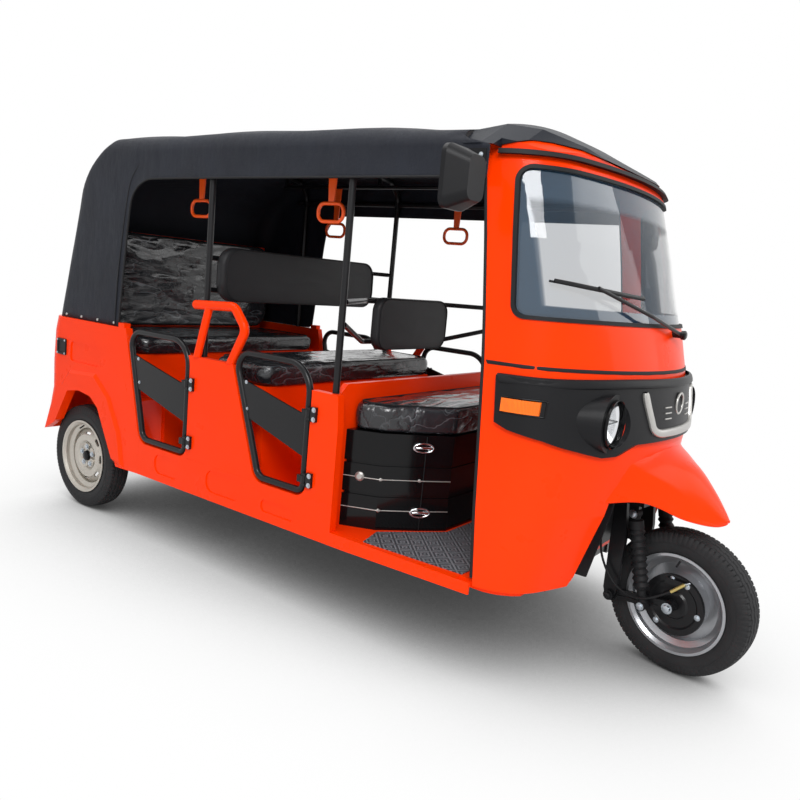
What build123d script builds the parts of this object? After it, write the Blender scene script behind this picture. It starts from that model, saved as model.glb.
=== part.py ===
"""Three-wheeled passenger auto rickshaw: pressed-steel body on a box-rail chassis, four tube
doors, a canvas roof on tube bows and a leading-link front fork.

Sizes are in millimetres.  While the pieces are drawn, X runs to the vehicle's left, Y is the
station behind the front axle and Z is the height over the ground.  save() then moves each piece
so that the origin lies on the ground under the middle of the vehicle's length."""
from build123d import *
import math
import os

# ---------------------------------------------------------------- driving sizes
WHEELBASE = 2670.0
TYRE_R = 247.0
TYRE_W = 108.0
RIM_R = 173.0              # radius over the rim flanges
REAR_TRACK = 1066.0
HALF_W = 626.0             # outer face of the body sides
PANEL = 32.0               # side panel with its folded edges
SKIN = 20.0                # cowl moulding with its folded edges
SEAT_GAP = 0.3             # gap left between seated pieces
FIT = 0.05                 # radial running clearance of pins and shafts
TAIL_TIP = 2953.0          # rearmost point of the tail flare
FLOOR_TOP = 330.0
FLOOR_T = 26.0
SILL_BOTTOM = 283.0
TOE_Y = 338.0              # front face of the driver's toe board
QUARTER_TOP = 905.0        # top of the rear side panels

# steering: the axis leans back and the wheel stands turned a little to the right
STEER_Y = 130.0
STEER_Z = 560.0
STEER_RAKE = 20.0
REST_STEER = -10.0
STEER_DIR = (0, math.sin(math.radians(STEER_RAKE)), math.cos(math.radians(STEER_RAKE)))
STEER_AXIS = Axis((0, STEER_Y, STEER_Z), STEER_DIR)

MID_STATION = (TAIL_TIP - TYRE_R) / 2
TO_ORIGIN = Pos(0, -MID_STATION, 0)

os.makedirs("parts", exist_ok=True)


# ---------------------------------------------------------------- helpers
def save(name, shape):
    pieces = [TO_ORIGIN * solid for solid in shape.solids()]
    whole = pieces[0] if len(pieces) == 1 else Compound(children=pieces)
    export_step(whole, "parts/" + name + ".step")


def solids(*shapes):
    """Several solids that share one node."""
    return Compound(children=[s for shape in shapes for s in shape.solids()])


def block(x, y, z):
    """A box from three (low, high) pairs."""
    size = (x[1] - x[0], y[1] - y[0], z[1] - z[0])
    return Pos((x[0] + x[1]) / 2, (y[0] + y[1]) / 2, (z[0] + z[1]) / 2) * Box(*size)


def side_prism(outline, x):
    """Closed outline of (station, height) points, drawn out across the vehicle."""
    face = make_face(Plane.YZ.offset(x[0]) * outline)
    return extrude(face, amount=x[1] - x[0], dir=(1, 0, 0))


def front_prism(outline, y):
    """Closed outline of (across, height) points, drawn out along the vehicle."""
    face = make_face(Plane.XZ.offset(-y[0]) * outline)
    return extrude(face, amount=y[1] - y[0], dir=(0, 1, 0))


def plan_prism(outline, z):
    """Closed outline of (across, station) points, drawn upwards."""
    face = make_face(Plane.XY.offset(z[0]) * outline)
    return extrude(face, amount=z[1] - z[0], dir=(0, 0, 1))


def rounded(points, radius):
    return FilletPolyline(*points, radius=radius, close=True)


def polygon(points):
    return Polyline(*points, close=True)


def bar(points, diameter, radius):
    """A round bar or tube bent along 3-D points."""
    path = FilletPolyline(*points, radius=radius) if len(points) > 2 else Polyline(*points)
    start = Plane(origin=path @ 0, z_dir=path % 0)
    return sweep(start * Circle(diameter / 2), path=path)


def rod(start, end, radius):
    """A straight round rod between two points."""
    direction = Vector(*end) - Vector(*start)
    plane = Plane(origin=start, z_dir=direction)
    return extrude(plane * Circle(radius), amount=direction.length)


def both_sides(shape):
    return solids(shape, mirror(shape, about=Plane.YZ))


def turned(profile, x_shift=0.0):
    """A profile of (across, radius) lines turned about the wheel's axle."""
    face = make_face(profile)
    return Pos(x_shift, 0, 0) * revolve(face, axis=Axis.X)


def steered(shape):
    return shape.rotate(STEER_AXIS, REST_STEER)


def on_axis(z):
    """The point of the steering axis at one height."""
    return (0, STEER_Y + (z - STEER_Z) * math.tan(math.radians(STEER_RAKE)), z)


# ---------------------------------------------------------------- wheels
TREAD_HALF = 42.0
CROWN_DROP = 4.4           # tread height lost from the middle to the shoulder
BEAD_R = 158.0
BEAD_HALF = 40.5
AXLE_R = 12.0
HUB_R = 31.0
HUB_HALF = 22.0            # the rear hub's half length


def tyre():
    shoulder = TYRE_R - CROWN_DROP
    half = TYRE_W / 2
    crown = ThreePointArc((-TREAD_HALF, shoulder), (0, TYRE_R), (TREAD_HALF, shoulder))
    right = ThreePointArc((TREAD_HALF, shoulder), (half, 205), (46, RIM_R + 1))
    left = ThreePointArc((-46, RIM_R + 1), (-half, 205), (-TREAD_HALF, shoulder))
    foot = Polyline((46, RIM_R + 1), (BEAD_HALF, BEAD_R), (-BEAD_HALF, BEAD_R), (-46, RIM_R + 1))
    return turned(crown + right + foot + left)


# rim barrel, half section: across, radius
BARREL = [(-52, 173), (-52, 164), (-42, 155), (-26, 153), (-16, 134), (16, 134), (26, 153), (42, 155),
          (52, 164), (52, 173), (49, 173), (45, 164), (41, 157.5), (-41, 157.5), (-45, 164), (-49, 173)]
# wheel disc, half section on the outer side: across, radius
DISC = [(4, 135), (-8, 118), (-22, 100), (-22, 72), (-10, 58), (-10, 30), (-16, 30), (-16, 60),
        (-28, 74), (-28, 102), (-14, 122), (-2, 135)]
LOBES = 5
LOBE_PCD_R = 44.0
LOBE_R = 17.0
LOBE_X = (-24.0, -10.0)
SLOTS = 8
SLOT_R = 109.0
SLOT_SIZE = (40.0, 11.0)


def rim(side):
    """Steel rim with a slotted disc and its hub; side is -1 where the disc faces the vehicle's right."""
    barrel = turned(polygon(BARREL))
    hub = [(-HUB_HALF, AXLE_R + FIT), (-HUB_HALF, HUB_R), (HUB_HALF, HUB_R), (HUB_HALF, AXLE_R + FIT)]
    disc = turned(polygon(DISC)) + turned(polygon(hub))
    for place in PolarLocations(SLOT_R, SLOTS):
        slot = Plane.YZ.offset(-60) * place * SlotOverall(*SLOT_SIZE, rotation=90)
        disc -= extrude(slot, amount=60)
    for place in PolarLocations(LOBE_PCD_R, LOBES):
        lobe = Plane.YZ.offset(LOBE_X[0]) * place * Circle(LOBE_R)
        disc += extrude(lobe, amount=LOBE_X[1] - LOBE_X[0], dir=(1, 0, 0))
    whole = barrel + disc
    return whole if side < 0 else mirror(whole, about=Plane.YZ)


# ---------------------------------------------------------------- front wheel and suspension
FORK_TOP = 566.0           # underside of the fork bridge
BRIDGE_T = 24.0
BRIDGE_HALF = 118.0
LEG_X = (86.0, 102.0)      # fork legs
ARM_X = (70.0, 84.0)       # leading links
DAMPER_X = 100.0
PIVOT = (208.0, 218.0)     # station and height of the link pivot
PIVOT_PIN_R = 10.0
PIVOT_BOSS_R = 24.0
DAMPER_FOOT = (84.0, 226.0)
DAMPER_HEAD = (147.0, 534.0)
DAMPER_EYE_R = 17.0
BELLOWS_R = 27.0
BELLOWS_RIBS = 9
AXLE_END = 100.0
BRAKE_R = 104.0
BRAKE_X = (-58.0, -44.0)
STEM_R = 16.0
HEAD_R = 30.0
HEAD_Z = (604.0, 830.0)    # heights of the head tube's ends on the steering axis
BAR_Z = 985.0
BAR_D = 22.0


def front_rim():
    """Rim with the brake drum hub on its open side."""
    drum = turned(polygon([(-34, AXLE_R + FIT), (-34, 92), (30, 96), (38, 60), (56, 34), (56, AXLE_R + FIT)]))
    web = turned(polygon([(12, 136), (26, 120), (26, 94), (12, 94)]))
    return turned(polygon(BARREL)) + drum + web


def at_front_axle(shape):
    return Pos(0, 0, TYRE_R) * shape


def front_fork():
    """Bridge, two pressed legs down to the link pivots and the steering stem."""
    bridge = block((-BRIDGE_HALF, BRIDGE_HALF), (112, 226), (FORK_TOP, FORK_TOP + BRIDGE_T))
    leg_outline = [(182, FORK_TOP + 1), (226, FORK_TOP + 1), (234, PIVOT[1] + 20), (222, PIVOT[1] - 20),
                   (198, PIVOT[1] - 20), (184, PIVOT[1] + 14), (172, 440)]
    leg = side_prism(polygon(leg_outline), LEG_X)
    leg += rod((ARM_X[0] - 3, *PIVOT), (LEG_X[1] + 8, *PIVOT), PIVOT_PIN_R)
    head_y = DAMPER_HEAD[0]
    eye_top = DAMPER_HEAD[1] + DAMPER_EYE_R + SEAT_GAP
    leg += block((DAMPER_X - 9, DAMPER_X + 9), (head_y - 14, head_y + 14), (eye_top, FORK_TOP + 1))
    stem = rod(on_axis(FORK_TOP + BRIDGE_T / 2), on_axis(BAR_Z - 5), STEM_R)
    return bridge + leg + mirror(leg, about=Plane.YZ) + stem


def front_links():
    """The leading links and the dead axle with its nuts."""
    length = math.hypot(PIVOT[0], PIVOT[1] - TYRE_R)
    angle = math.degrees(math.atan2(PIVOT[1] - TYRE_R, PIVOT[0]))
    outline = Pos(PIVOT[0] / 2, (PIVOT[1] + TYRE_R) / 2) * SlotCenterToCenter(length, 36, rotation=angle)
    arm = extrude(Plane.YZ.offset(ARM_X[0]) * outline, amount=ARM_X[1] - ARM_X[0])
    arm += rod((ARM_X[0], *PIVOT), (ARM_X[1] + 1.5, *PIVOT), PIVOT_BOSS_R - 2)
    arm -= rod((ARM_X[0] - 5, *PIVOT), (ARM_X[1] + 5, *PIVOT), PIVOT_PIN_R + SEAT_GAP)
    nut = Plane.YZ.offset(ARM_X[1] - 1) * Pos(0, TYRE_R) * RegularPolygon(18, 6)
    arm += extrude(nut, amount=13)
    arm += rod((ARM_X[0], 0, TYRE_R), (ARM_X[0] - 12, 0, TYRE_R), 19)
    axle = rod((-AXLE_END - 8, 0, TYRE_R), (AXLE_END + 8, 0, TYRE_R), AXLE_R)
    return arm + axle + mirror(arm, about=Plane.YZ)


def damper():
    """Bellows-booted shock absorber, drawn upright and leaned to its line, left side."""
    rise = DAMPER_HEAD[1] - DAMPER_FOOT[1]
    run = DAMPER_HEAD[0] - DAMPER_FOOT[0]
    length = math.hypot(rise, run)
    low = 58.0
    high = length - 52.0
    pitch = (high - low) / BELLOWS_RIBS
    points = [(0, 8), (15, 8), (15, low - 6), (20, low)]
    for i in range(BELLOWS_RIBS):
        points += [(BELLOWS_R, low + (i + 0.5) * pitch), (20, low + (i + 1) * pitch)]
    points += [(24, high), (24, length - 24), (14, length - 20), (14, length - 8), (0, length - 8)]
    body = revolve(make_face(Plane.XZ * polygon(points)), axis=Axis.Z)
    eye = DAMPER_X - ARM_X[1] - SEAT_GAP
    body += rod((-eye, 0, 0), (eye, 0, 0), DAMPER_EYE_R) + rod((-eye, 0, length), (eye, 0, length), DAMPER_EYE_R)
    body = Rot(-math.degrees(math.atan2(run, rise)), 0, 0) * body
    return Pos(DAMPER_X, *DAMPER_FOOT) * body


def brake_plate():
    """Drum brake back plate with its stiffening ring and cam lever."""
    profile = [(BRAKE_X[0] + 2, AXLE_R + SEAT_GAP), (BRAKE_X[0], 34), (BRAKE_X[0], 44), (BRAKE_X[0] + 6, 50),
               (BRAKE_X[0] + 6, 78), (BRAKE_X[0] + 1, 84), (BRAKE_X[0] + 1, BRAKE_R), (BRAKE_X[1], BRAKE_R),
               (BRAKE_X[1], AXLE_R + SEAT_GAP)]
    plate = turned(polygon(profile))
    cam = rod((BRAKE_X[1] - 2, 26, 78), (BRAKE_X[0] - 8, 26, 78), 9)
    lever = block((BRAKE_X[0] - 10, BRAKE_X[0] - 5), (-34, 30), (72, 92))
    return at_front_axle(plate + cam + lever)


def handlebar():
    """Swept bar with two grips, clamped on the stem."""
    y = on_axis(BAR_Z)[1]
    half = [(-300, y + 190, BAR_Z + 20), (-190, y + 172, BAR_Z + 30), (-110, y + 20, BAR_Z + 12)]
    path = half + [(-half[2][0], *half[2][1:]), (-half[1][0], *half[1][1:]), (-half[0][0], *half[0][1:])]
    tube = bar(path, BAR_D, 45)
    clamp = rod(on_axis(BAR_Z - 4.7), on_axis(BAR_Z + 26), 24)
    grip = rod(half[0], (-215, y + 176, BAR_Z + 27.8), 17)
    return tube + clamp + grip + mirror(grip, about=Plane.YZ)


# brake cable: from the lever, under the link, up behind the fork leg to a clip under the bridge
CABLE_D = 8.0
CABLE_ROUTE = [(-75, -34, 335), (-86, -4, 306), (-108, 34, 279), (-119, 78, 256), (-122, 128, 250),
               (-122, 178, 266), (-122, 216, 306), (-122, 243, 356), (-118, 256, 410), (-106, 262, 464),
               (-88, 260, 516), (-66, 236, 556)]


def cable_radii(points):
    """Bend radii: 0.45 of the shorter run over the tangent of half the turn."""
    radii = []
    for before, here, after in zip(points, points[1:], points[2:]):
        first = Vector(*here) - Vector(*before)
        second = Vector(*after) - Vector(*here)
        half_turn = math.radians(first.get_angle(second)) / 2
        radii.append(0.45 * min(first.length, second.length) / math.tan(half_turn))
    return radii


def brake_cable():
    radii = cable_radii(CABLE_ROUTE)
    print("cable radii", [round(radius) for radius in radii])
    path = FilletPolyline(*CABLE_ROUTE, radius=radii)
    start = Plane(origin=path @ 0, z_dir=path % 0)
    return sweep(start * Circle(CABLE_D / 2), path=path)


save("front_tyre", steered(at_front_axle(tyre())))
save("front_rim", steered(at_front_axle(front_rim())))
save("front_fork", steered(front_fork()))
save("front_links", steered(front_links()))
save("front_dampers", steered(both_sides(damper())))
save("brake_plate", steered(brake_plate()))
save("handlebar", steered(handlebar()))
save("brake_cable", steered(brake_cable()))

# ---------------------------------------------------------------- rear wheels
for name, side in (("right", -1), ("left", 1)):
    place = Pos(side * REAR_TRACK / 2, WHEELBASE, TYRE_R)
    save("rear_tyre_" + name, place * tyre())
    save("rear_rim_" + name, place * rim(side))

# ---------------------------------------------------------------- cowl surface
COWL_BOTTOM = 322.0
COWL_TOP = 1630.0
# plan sections of the cowl: height, half width at the rear edge, rear edge station, nose station,
# nose radius, corner radius
COWL = [(COWL_BOTTOM, 617, 462, 196, 1300, 178),
        (560, 611, 484, 132, 1000, 210),
        (770, 603, 500, 104, 860, 205),
        (1005, 592, 520, 132, 830, 190),
        (1130, 584, 536, 165, 900, 195),
        (1380, 571, 570, 246, 1200, 210),
        (1600, 558, 606, 326, 1500, 220),
        (COWL_TOP, 554, 610, 345, 1500, 221)]
COWL_TOE = math.radians(6)     # the cowl's side lines close in towards the nose
COWL_REACH = 60.0              # how far cutting copies run past the rear edge and the ends


def cowl_section(row, inset, reach):
    """One plan section: side line, corner arc, nose arc, and the same mirrored."""
    z, half, rear, nose, nose_r, corner_r = row
    nose_centre = Vector(0, nose + nose_r)
    along = Vector(-math.sin(COWL_TOE), -math.cos(COWL_TOE))
    inward = Vector(-math.cos(COWL_TOE), math.sin(COWL_TOE))
    start = Vector(half, rear) + inward * corner_r
    # centre of the corner arc: on the offset side line, tangent inside the nose arc
    gap = start - nose_centre
    reach_r = nose_r - corner_r
    b = gap.dot(along)
    c = gap.dot(gap) - reach_r ** 2
    travel = -b + math.sqrt(b * b - c)
    centre = start + along * travel
    outward = (centre - nose_centre).normalized()
    side_end = centre - inward * (corner_r - inset)
    nose_end = centre + outward * (corner_r - inset)
    middle = centre + (outward - inward).normalized() * (corner_r - inset)
    rear_end = Vector(half, rear) + inward * inset - along * reach
    tip = Vector(0, nose + inset)

    def left(v):
        return (v.X, v.Y)

    def right(v):
        return (-v.X, v.Y)

    edges = [Line(left(rear_end), left(side_end)),
             ThreePointArc(left(side_end), left(middle), left(nose_end)),
             ThreePointArc(left(nose_end), left(tip), right(nose_end)),
             ThreePointArc(right(nose_end), right(middle), right(side_end)),
             Line(right(side_end), right(rear_end)),
             Line(right(rear_end), left(rear_end))]
    return Pos(0, 0, z) * make_face(edges)


def cowl_body(inset, reach=0.0, ends=0.0):
    """The closed form behind the cowl's surface, moved in by inset."""
    rows = [list(row) for row in COWL]
    first, second = rows[0], rows[1]
    last, before = rows[-1], rows[-2]
    if ends:
        down = -ends / (second[0] - first[0])
        rows[0] = [a + (b - a) * down for a, b in zip(first, second)]
        up = 1 + ends / (last[0] - before[0])
        rows[-1] = [a + (b - a) * up for a, b in zip(before, last)]
    return loft([cowl_section(row, inset, reach) for row in rows], ruled=True)

def cowl_layer(outset, depth):
    """A layer of the cowl's surface, from outset outside it to depth inside it."""
    return cowl_body(-outset) - cowl_body(depth, COWL_REACH, COWL_REACH)


# ---------------------------------------------------------------- front cowl and its parts
# wheel opening in front view, right half: across, height
WHEEL_OPENING = [(-404, 290), (-368, 352), (-340, 490), (-318, 600), (-284, 690), (-232, 732)]
WHEEL_OPENING_TOP = 742.0
# windshield opening in side view: station, height
SCREEN = [(40, 1148), (458, 1143), (514, 1590), (40, 1588)]
SCREEN_CORNER = 46.0
SEAL_W = 12.0
SEAL_OUT = 5.0
GLASS_IN = 6.0
GLASS_T = 6.0
# fascia band in side view: station, height
FASCIA = [(470, 975), (456, 836), (415, 820), (314, 800), (235, 772), (190, 754), (166, 757), (138, 790),
          (20, 798), (20, 975)]
FASCIA_OUT = 16.0
LAMP = (376.0, 190.0, 856.0)      # headlamp centre on the left side
LAMP_R = 72.0
POD_R = 90.0
SIGNAL_Y = (330.0, 440.0)
SIGNAL_Z = (872.0, 912.0)
EMBLEM = [(-268, 952), (-153, 811), (153, 811), (268, 952)]
EMBLEM_BAND = 26.0

FULL_X = (-700, 700)


def mirrored_outline(half, top):
    return polygon(half + [(0, top)] + [(-x, z) for x, z in reversed(half)])


def front_cowl():
    shell = cowl_body(0) - cowl_body(SKIN, COWL_REACH, COWL_REACH)
    shell -= front_prism(mirrored_outline(WHEEL_OPENING, WHEEL_OPENING_TOP), (0, 420))
    shell -= side_prism(rounded(SCREEN, SCREEN_CORNER), FULL_X)
    x, y, z = LAMP
    for side in (-1, 1):
        shell -= rod((side * x, y - 100, z), (side * x, y + 80, z), LAMP_R + 1)
    return shell


def screen_prism(inset):
    face = make_face(Plane.YZ.offset(FULL_X[0]) * rounded(SCREEN, SCREEN_CORNER))
    face = offset(face, amount=-inset)
    return extrude(face, amount=FULL_X[1] - FULL_X[0], dir=(1, 0, 0))


def windshield_seal():
    return cowl_layer(SEAL_OUT, SKIN) & (screen_prism(SEAT_GAP) - screen_prism(SEAL_W))


def windshield_glass():
    return (cowl_body(GLASS_IN) - cowl_body(GLASS_IN + GLASS_T, COWL_REACH, COWL_REACH)) \
        & screen_prism(SEAL_W + SEAT_GAP)


def fascia():
    band = cowl_body(-FASCIA_OUT) - cowl_body(-SEAT_GAP, COWL_REACH, COWL_REACH)
    band &= side_prism(polygon(FASCIA), FULL_X)
    x, y, z = LAMP
    circle = Plane.XZ.offset(-y + 8) * Pos(x, z) * Circle(POD_R)
    rear = Plane.XZ.offset(-y - 130) * Pos(x + 78, z) * Circle(POD_R - 30)
    pod = loft([circle, rear], ruled=True) - cowl_body(-SEAT_GAP, COWL_REACH, COWL_REACH)
    pod -= rod((x, y - 20, z), (x, y + 34, z), LAMP_R + SEAT_GAP)
    band -= rod((x, y - 60, z), (x, y + 34, z), LAMP_R + SEAT_GAP)
    band -= mirror(rod((x, y - 60, z), (x, y + 34, z), LAMP_R + SEAT_GAP), about=Plane.YZ)
    band = band + pod + mirror(pod, about=Plane.YZ)
    window = block((0, 700), SIGNAL_Y, SIGNAL_Z)
    return band - window - mirror(window, about=Plane.YZ)


def headlamp():
    x, y, z = LAMP
    dome = [(0, -6), (40, -2), (LAMP_R, 12), (LAMP_R, 33.7), (0, 33.7)]
    return Pos(x, y, z) * revolve(make_face(polygon(dome)), axis=Axis.Y)


def turn_signal():
    layer = cowl_body(-FASCIA_OUT - 6) - cowl_body(-SEAT_GAP, COWL_REACH, COWL_REACH)
    y = (SIGNAL_Y[0] + SEAT_GAP, SIGNAL_Y[1] - SEAT_GAP)
    z = (SIGNAL_Z[0] + SEAT_GAP, SIGNAL_Z[1] - SEAT_GAP)
    return layer & block((300, 700), y, z)


def emblem():
    """Plain U-shaped frame across the nose of the fascia."""
    layer = cowl_body(-FASCIA_OUT - 10) - cowl_body(-FASCIA_OUT - SEAT_GAP, COWL_REACH, COWL_REACH)
    outer = front_prism(polygon(EMBLEM), (0, 200))
    inner = [(-268 + EMBLEM_BAND * 1.4, 960), (-153 + EMBLEM_BAND, 811 + EMBLEM_BAND),
             (153 - EMBLEM_BAND, 811 + EMBLEM_BAND), (268 - EMBLEM_BAND * 1.4, 960)]
    return (layer & outer) - front_prism(polygon(inner), (0, 200))


# front fender sections: station, edge half width, edge height, shoulder half width, shoulder height,
# crown height
FENDER = [(196, 332, 600, 276, 742, 802),
          (110, 255, 612, 222, 697, 752),
          (55, 200, 592, 172, 668, 722),
          (5, 150, 563, 123, 629, 690),
          (-50, 97, 546, 78, 580, 633),
          (-86, 58, 541, 45, 556, 588),
          (-106, 26, 545, 18, 550, 562)]
FENDER_T = 10.0


def fender_section(row, inset):
    y, edge, edge_z, shoulder, shoulder_z, crown_z = row
    edge -= inset
    shoulder -= inset
    crown_z -= inset
    shoulder_z -= inset * 0.6
    if inset:
        edge_z -= 60
    edges = [Line((edge, edge_z), (shoulder, shoulder_z)),
             ThreePointArc((shoulder, shoulder_z), (0, crown_z), (-shoulder, shoulder_z)),
             Line((-shoulder, shoulder_z), (-edge, edge_z)),
             Line((-edge, edge_z), (edge, edge_z))]
    return Plane.XZ.offset(-y) * make_face(edges)


def front_fender():
    outer = loft([fender_section(row, 0) for row in FENDER], ruled=True)
    inner = loft([fender_section(row, FENDER_T) for row in FENDER[:-1]], ruled=True)
    return outer - inner - cowl_body(-SEAT_GAP, COWL_REACH, COWL_REACH)


def wheel_housing():
    """Liner of the front wheel opening: side walls, back wall and top, round the steering head."""
    rear = TOE_Y - SEAT_GAP
    shape = block((-262, 262), (100, rear), (COWL_BOTTOM, 660))
    shape -= block((-256, 256), (60, rear - 6), (200, 652))
    shape &= cowl_body(SKIN + SEAT_GAP)
    centre = on_axis(655)
    return shape - rod((0, centre[1] - 20, 600), (0, centre[1] + 10, 720), HEAD_R + 34)


# ---------------------------------------------------------------- cab roof, its cover and the canopy
# cab roof sections: station, crown height, shoulder half width and height, edge half width and height
DOME = [(339, 1634, 200, 1633, 330, 1631),
        (400, 1676, 330, 1670, 450, 1632),
        (500, 1728, 430, 1706, 560, 1633),
        (600, 1771, 470, 1718, 617, 1636),
        (660, 1756, 556, 1684, 617, 1636)]
DOME_T = 8.0
COVER_T = 6.0
COVER_OVERHANG = 6.0       # how far the cover stands out past the cowl's top edge
COVER_WINGS_Y = 566.0      # the cover widens to the canopy from here back
CANOPY_SIDE_TOP = 1634.0
GUTTER_OUT = 22.0
GUTTER_Z = (1614.0, 1628.0)
# lower edge of the cover in side view: station, height
COVER_EDGE = [(300, 1636), (362, 1645), (398, 1657), (455, 1664), (490, 1662), (512, 1654), (530, 1648),
              (COVER_WINGS_Y, 1640), (COVER_WINGS_Y, CANOPY_SIDE_TOP + SEAT_GAP), (700, CANOPY_SIDE_TOP + SEAT_GAP),
              (700, 1900), (300, 1900)]


def dome_section(row, drop):
    """One cross section of the roof, lowered by drop at every height."""
    y, crown, shoulder, shoulder_z, edge, edge_z = row
    low = 1500
    crown -= drop
    shoulder_z -= drop
    edge_z -= drop
    edges = [Line((edge, low), (edge, edge_z)),
             Line((edge, edge_z), (shoulder, shoulder_z)),
             ThreePointArc((shoulder, shoulder_z), (0, crown), (-shoulder, shoulder_z)),
             Line((-shoulder, shoulder_z), (-edge, edge_z)),
             Line((-edge, edge_z), (-edge, low)),
             Line((-edge, low), (edge, low))]
    return Plane.XZ.offset(-y) * make_face(edges)


def dome_plan(outset, wings):
    """Plan of the roof above the cowl's top edge, with or without the wings to the canopy."""
    top = COWL[-1]
    rear = DOME[-1][0]
    plan = extrude(cowl_section(top, -outset, rear - top[2]), amount=300, dir=(0, 0, 1))
    if wings:
        plan += block((-CANOPY_HALF, CANOPY_HALF), (COVER_WINGS_Y, rear), (COWL_TOP, COWL_TOP + 300))
    return plan


def dome_form(drop, inset, wings=False):
    body = loft([dome_section(row, drop) for row in DOME], ruled=True)
    return body & (Pos(0, 0, SEAT_GAP) * dome_plan(COVER_OVERHANG - inset, wings))


def cab_roof():
    """Domed steel roof of the cab, standing on the cowl's top edge."""
    drop = COVER_T + SEAT_GAP
    hollow = Pos(0, 0, -DOME_T) * dome_form(drop, SKIN)
    return dome_form(drop, COVER_T) - hollow - Pos(0, 0, -DOME_T) * hollow - Pos(0, 40, 0) * hollow


def roof_cover():
    """Canvas cover over the cab roof, its front edge cut back in a curve at each side."""
    hollow = loft([dome_section(row, COVER_T) for row in DOME], ruled=True)
    inner = hollow & (Pos(0, 0, -10) * dome_plan(0, False))
    wings = block((-CANOPY_HALF + COVER_T, CANOPY_HALF - COVER_T), (COVER_WINGS_Y + COVER_T, 700), (1500, 1900))
    shell = dome_form(0, 0, True) - inner - (hollow & wings) - Pos(0, 1, 0) * (hollow & wings)
    return shell & side_prism(polygon(COVER_EDGE), FULL_X)


def roof_gutter():
    """Rain gutter round the top of the cowl."""
    layer = cowl_body(-GUTTER_OUT) - cowl_body(-SEAT_GAP, COWL_REACH, COWL_REACH)
    return layer & block(FULL_X, (200, 564), GUTTER_Z)


CANOPY_Y = (568.0, 2940.0)
CANOPY_STEP = DOME[-1][0] + SEAT_GAP   # the roof sheet starts here, behind the cab roof's cover
CANOPY_HALF = 616.0
CANOPY_T = 6.0
CANOPY_HEM = QUARTER_TOP + SEAT_GAP
VALANCE = 1540.0
# canopy cross sections: station, height of the side's upper end, knee height, crown height
CANOPY_ROWS = [(560, CANOPY_SIDE_TOP, 1680, 1748),
               (1092, 1645, 1706, 1784),
               (1500, 1652, 1714, 1802),
               (2960, 1652, 1714, 1802)]
KNEE_IN = 56.0             # the knee lies this far in from the side
# canopy's rear in plan sections: height, rear station, corner radius
CANOPY_TAIL = [(880, 2908, 100),
               (1184, 2842, 100),
               (1450, 2765, 100),
               (1513, 2750, 96),
               (1600, 2672, 90),
               (1690, 2530, 80),
               (1790, 2468, 60),
               (1830, 2430, 50)]
# side opening in side view: station, height
SIDE_OPENING = [(500, VALANCE), (2176, VALANCE), (2303, 1450), (2366, 800), (500, 800)]


def tail_section(row, half, inset):
    """Plan section with two rounded rear corners, reaching forward past the doors."""
    z, rear, radius = row
    rear -= inset
    radius = max(radius - inset, 4)
    front = 400
    slant = radius * math.sqrt(0.5)
    left = (half - radius, rear - radius)
    edges = [Line((half, front), (half, left[1])),
             ThreePointArc((half, left[1]), (left[0] + slant, left[1] + slant), (left[0], rear)),
             Line((left[0], rear), (-left[0], rear)),
             ThreePointArc((-left[0], rear), (-left[0] - slant, left[1] + slant), (-half, left[1])),
             Line((-half, left[1]), (-half, front)),
             Line((-half, front), (half, front))]
    return Pos(0, 0, z) * make_face(edges)


def tail_form(rows, half, inset, ends=0.0):
    """The rear form through its plan sections, its ends drawn out by ends along their own slopes."""
    rows = list(rows)
    for end, beside in ((0, 1), (-1, -2)):
        run = ends / abs(rows[end][0] - rows[beside][0])
        rows[end] = [a + (a - b) * run for a, b in zip(rows[end], rows[beside])]
    return loft([tail_section(row, half, inset) for row in rows], ruled=True)


def canopy_section(row, inset):
    y, side, knee_z, crown = row
    half = CANOPY_HALF - inset
    knee = (half - KNEE_IN, knee_z - inset)
    bulge = (half - 14, side + (knee_z - side) * 0.65 - inset * 0.7)
    low = 800
    edges = [Line((half, low), (half, side)),
             ThreePointArc((half, side), bulge, knee),
             ThreePointArc(knee, (0, crown - inset), (-knee[0], knee[1])),
             ThreePointArc((-knee[0], knee[1]), (-bulge[0], bulge[1]), (-half, side)),
             Line((-half, side), (-half, low)),
             Line((-half, low), (half, low))]
    return Plane.XZ.offset(-y) * make_face(edges)


def canopy_form(inset):
    body = loft([canopy_section(row, inset) for row in CANOPY_ROWS], ruled=True)
    return body & tail_form(CANOPY_TAIL, CANOPY_HALF - inset, inset, inset and 60)


def canopy():
    shell = canopy_form(0) - canopy_form(CANOPY_T)
    shell -= block(FULL_X, (400, CANOPY_Y[0]), (500, 1900)) + block(FULL_X, (400, 3000), (500, CANOPY_HEM))
    shell -= block(FULL_X, (400, CANOPY_STEP), (CANOPY_SIDE_TOP, 1900))
    return shell - side_prism(polygon(SIDE_OPENING), FULL_X)


# ---------------------------------------------------------------- roof frame
FRONT_PILLAR_TOP = 815.0
PILLAR_TOP = 847.0
POST_X = 592.0
POST_D = 25.0
# bows: station, height of the post's foot, how far the top lies below the full height
BOWS = [(1092, FRONT_PILLAR_TOP + SEAT_GAP, 22),
        (1800, PILLAR_TOP + SEAT_GAP, 0),
        (2440, QUARTER_TOP + SEAT_GAP, 0)]
RAIL_Z = 1596.0
RAIL_Y = (600.0, 2500.0)
BOW_KNEE = (530.0, 1700.0)
BOW_TOP = 1772.0
BOW_SLEEVE = 450.0         # the bow's middle is sleeved to its ends here
FRONT_BOW_Y = 650.0
FRONT_BOW = [(480, 1650), (0, 1706)]


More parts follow.
